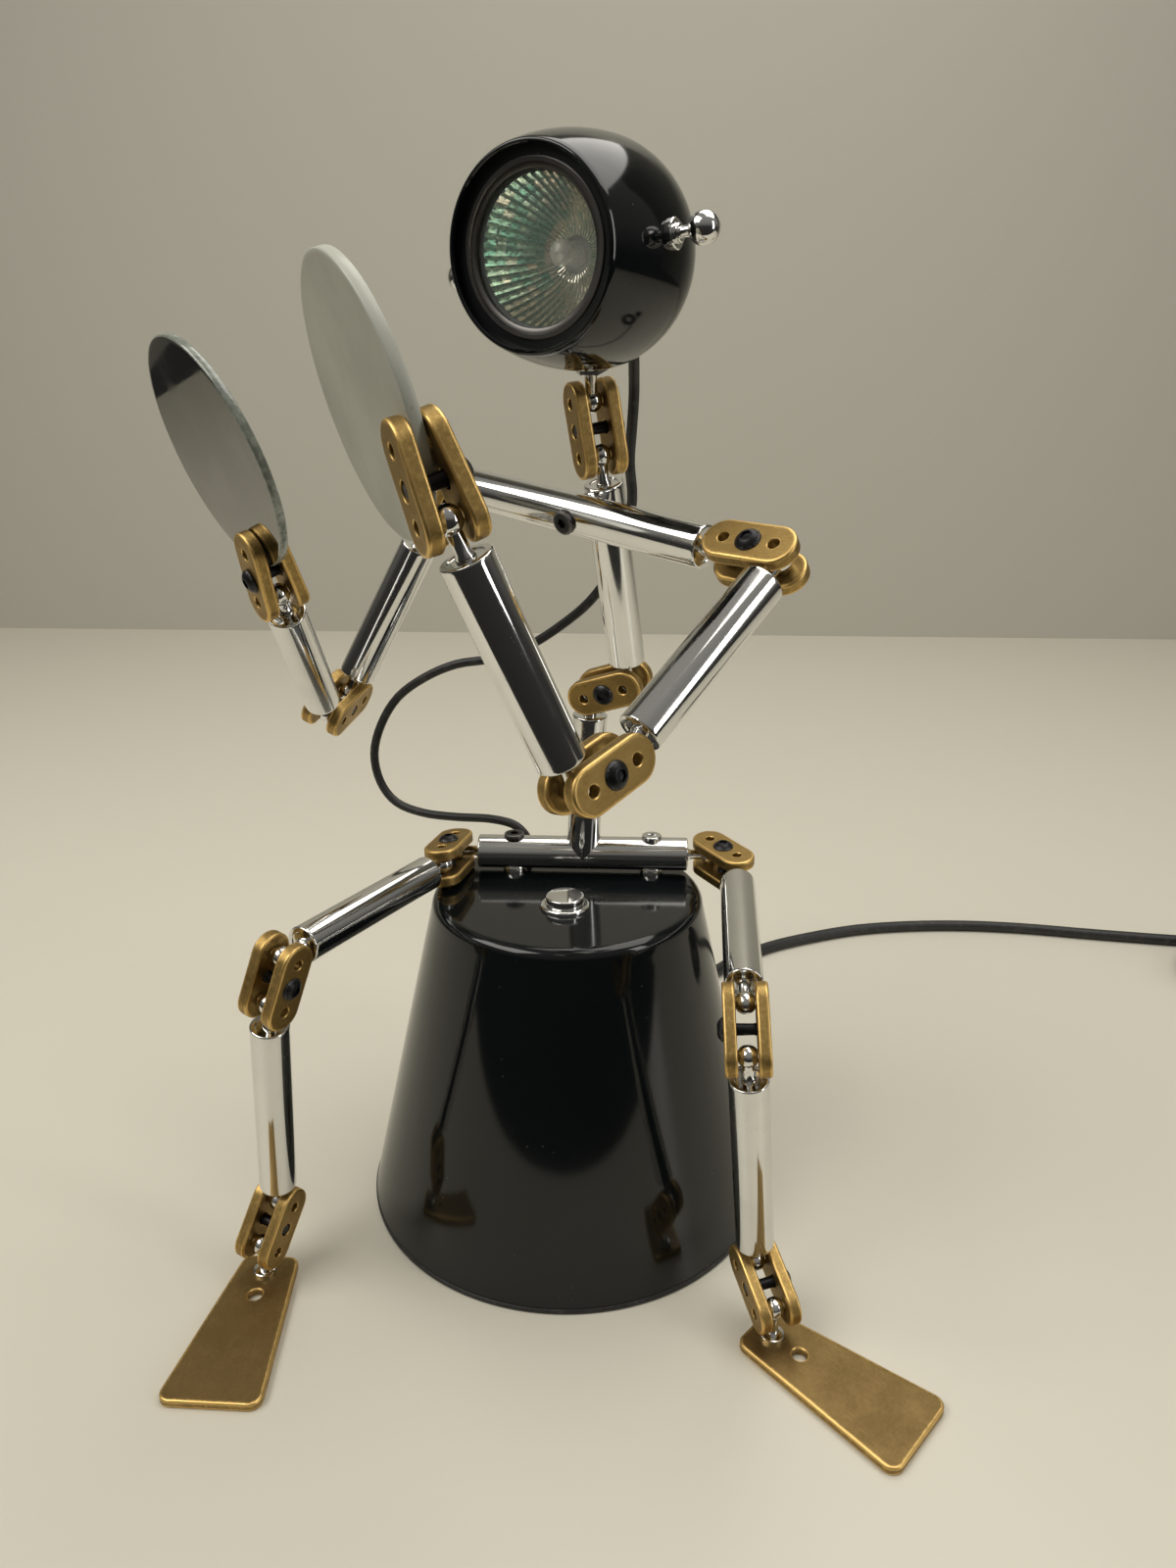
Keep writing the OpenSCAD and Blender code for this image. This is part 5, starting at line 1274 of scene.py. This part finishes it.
lathe(shape, [(shell_r(t) + 1.5, back_z + t * (bowl_top - back_z)) for t in np.linspace(1, 0, 12)]
             + [(6, back_z), (9, back_z, 0, 1), (9, back_z - 7, 0, 1), (0, back_z - 7, 0, 1)],
             head_place, 64, mat=2)
lathe(shape, [(bowl_out, bowl_top), (LAMP_D / 2, bowl_top), (LAMP_D / 2, LAMP_Z - 0.9),
              (bowl_out, LAMP_Z - 0.9)], head_place, 96, mat=2)
lathe(shape, [(mouth_r + 0.3, base_z - 0.4), (4.2, base_z - 0.2), (3.4, base_z + 0.4), (0, base_z + 0.4)],
             head_place, 32, mat=1)
lathe(shape, [(3, base_z), (3.4, base_z + 1), (3.4, base_z + 8)] + fillet(1.2, base_z + 8, 2.2, 0, 80)
             + [(0.5, base_z + 10.5), (0, base_z + 11)], head_place, 32, mat=3)
a = np.linspace(0, 40, 160)
filament = np.stack([0.5 * np.cos(a), 0.5 * np.sin(a), base_z + 4 + a * 0.09], 1)
sweep(shape, filament @ head_place[:3, :3].T + head_place[:3, 3], 0.12, 6, mat=2)
lens_r = LAMP_D / 2 - 0.1
cover = [(r, LAMP_Z - 0.45 + 0.45 * math.sqrt(max(0, 1 - (r / (lens_r + 0.1)) ** 2)))
         for r in np.linspace(lens_r, 0, 14)]
lathe(shape, [(lens_r, LAMP_Z - 0.85)] + cover, head_place, 96, mat=4)
shape.make("reflector_lamp", "head", [REFLECTOR, CERAMIC, STEEL, CAPSULE, LENS],
           ["halogen_lamp"], sharp=12)

# %% [markdown]
# ## Ears
# Two small chromed knobs stand out from the head like ears: a foot on the shell, a waist and a
# ball. Each is one profile again, a stepped base and a circle from where it meets the waist round
# to the pole.

# %% Ears
EAR_AHEAD, EAR_ROLL = 6.4, 5.5
EAR_REACH, EAR_R, EAR_WAIST = 39.2, 4.25, 1.5
leaves = math.asin(EAR_WAIST / EAR_R)
shape = Shape()
for s in (-1, 1):
    place = head_place @ moved(0, 0, EAR_AHEAD) @ turned("Z", EAR_ROLL) @ turned("X", s * 90)
    ball = [(EAR_R * math.sin(a), EAR_REACH - EAR_R * math.cos(a)) for a in np.linspace(leaves, math.pi, 20)]
    lathe(shape, [(4, HEAD_R - 1.2), (4, HEAD_R + 0.85), (3.7, HEAD_R + 1.15, 1), (2.6, HEAD_R + 1.2),
                  (2.5, HEAD_R + 1.3), (2.5, HEAD_R + 2.1), (2.2, HEAD_R + 2.35, 1),
                  (EAR_WAIST, HEAD_R + 2.4)] + ball, place, 48)
shape.make("ears", "head", [CHROME], ["ear_knobs"])

# %% [markdown]
# ## Pieces kept from the CAD
# The plate that closes the can and the transformer inside it are hardly ever seen, and flat plates
# are right as they come from the CAD. They keep their meshes and only get the steel finish.

# %% Bottom plate and transformer
for node in ("base_plate", "transformer"):
    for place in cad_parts[node].material_slots:
        place.material = STEEL

# %% [markdown]
# ## Table, wall and light
# The lamp stands on a pale table before a greyish wall, lit softly from above and the left. Chrome
# and black paint only look right when they have something to mirror: pale sheets of light above,
# and a darker room in front and below. So three area lamps light it at a plain level, and the world
# is a ramp over the height of the direction, dark under the level and pale above it.

# %% Table and wall
def stage_sheet(name, corners, finish):
    """Flat sheet between four corners, part of the studio and not of the lamp."""
    mesh = bpy.data.meshes.new(name)
    mesh.from_pydata(corners, [], [(0, 1, 2, 3)])
    mesh.materials.append(finish)
    obj = bpy.data.objects.new(name, mesh)
    bpy.context.scene.collection.objects.link(obj)


TABLE_W, TABLE_FRONT, WALL_Y, WALL_W, WALL_H = 1.8, -0.34, 1.4, 4, 4
table = Finish("floor", (0.66, 0.63, 0.535), 0.4)
wall = Finish("backdrop", (0.5, 0.485, 0.42), 0.8)
stage_sheet("floor", [(-TABLE_W, TABLE_FRONT, 0), (TABLE_W, TABLE_FRONT, 0), (TABLE_W, WALL_Y, 0),
                      (-TABLE_W, WALL_Y, 0)], table.done())
stage_sheet("backdrop", [(-WALL_W, WALL_Y, 0), (WALL_W, WALL_Y, 0), (WALL_W, WALL_Y, WALL_H),
                         (-WALL_W, WALL_Y, WALL_H)], wall.done())

# %% Lamps
def area_light(name, at, look_at, size, watts, colour):
    """Rectangular lamp that faces a point."""
    light = bpy.data.lights.new(name, "AREA")
    light.shape = "RECTANGLE"
    light.size, light.size_y = size
    light.energy, light.color = watts, colour
    obj = bpy.data.objects.new(name, light)
    bpy.context.scene.collection.objects.link(obj)
    obj.location = at
    obj.rotation_euler = (Vector(look_at) - Vector(at)).to_track_quat("-Z", "Y").to_euler()
    print(f"{name} light: {watts} W over {size[0] * size[1]:.2f} square metres")


area_light("key", (-1.05, -0.5, 1.5), (0, 0, 0.2), (1.3, 0.9), 17, (1.0, 0.965, 0.9))
area_light("top", (0.45, 0.3, 1.9), (0, 0, 0.12), (1.9, 1.3), 21, (1.0, 0.97, 0.91))
area_light("side", (1.4, -0.7, 0.7), (0, 0, 0.25), (0.3, 1.1), 4.5, (1.0, 0.98, 0.94))

# %% World
ROOM_LEVELS = ((0.0, 0.025), (0.5, 0.05), (0.66, 0.26), (1.0, 0.42))
ROOM_HUE, ROOM_STRENGTH = (1, 0.96, 0.88), 0.7
world = bpy.data.worlds.new("studio")
bpy.context.scene.world = world
world.use_nodes = True
room = Nodes(world.node_tree)
way = room.node("ShaderNodeTexCoord", {}, {}, "Generated")
height = room.node("ShaderNodeSeparateXYZ", {}, {0: way}, "Z")
rise = room.node("ShaderNodeMapRange", {}, {"Value": height, "From Min": -1})
stops = [(place, tuple(level * part for part in ROOM_HUE)) for place, level in ROOM_LEVELS]
background = world.node_tree.nodes["Background"]
room.put(background.inputs["Color"], rise.colours(*stops))
room.put(background.inputs["Strength"], ROOM_STRENGTH)
bpy.context.scene.view_settings.view_transform = "Standard"
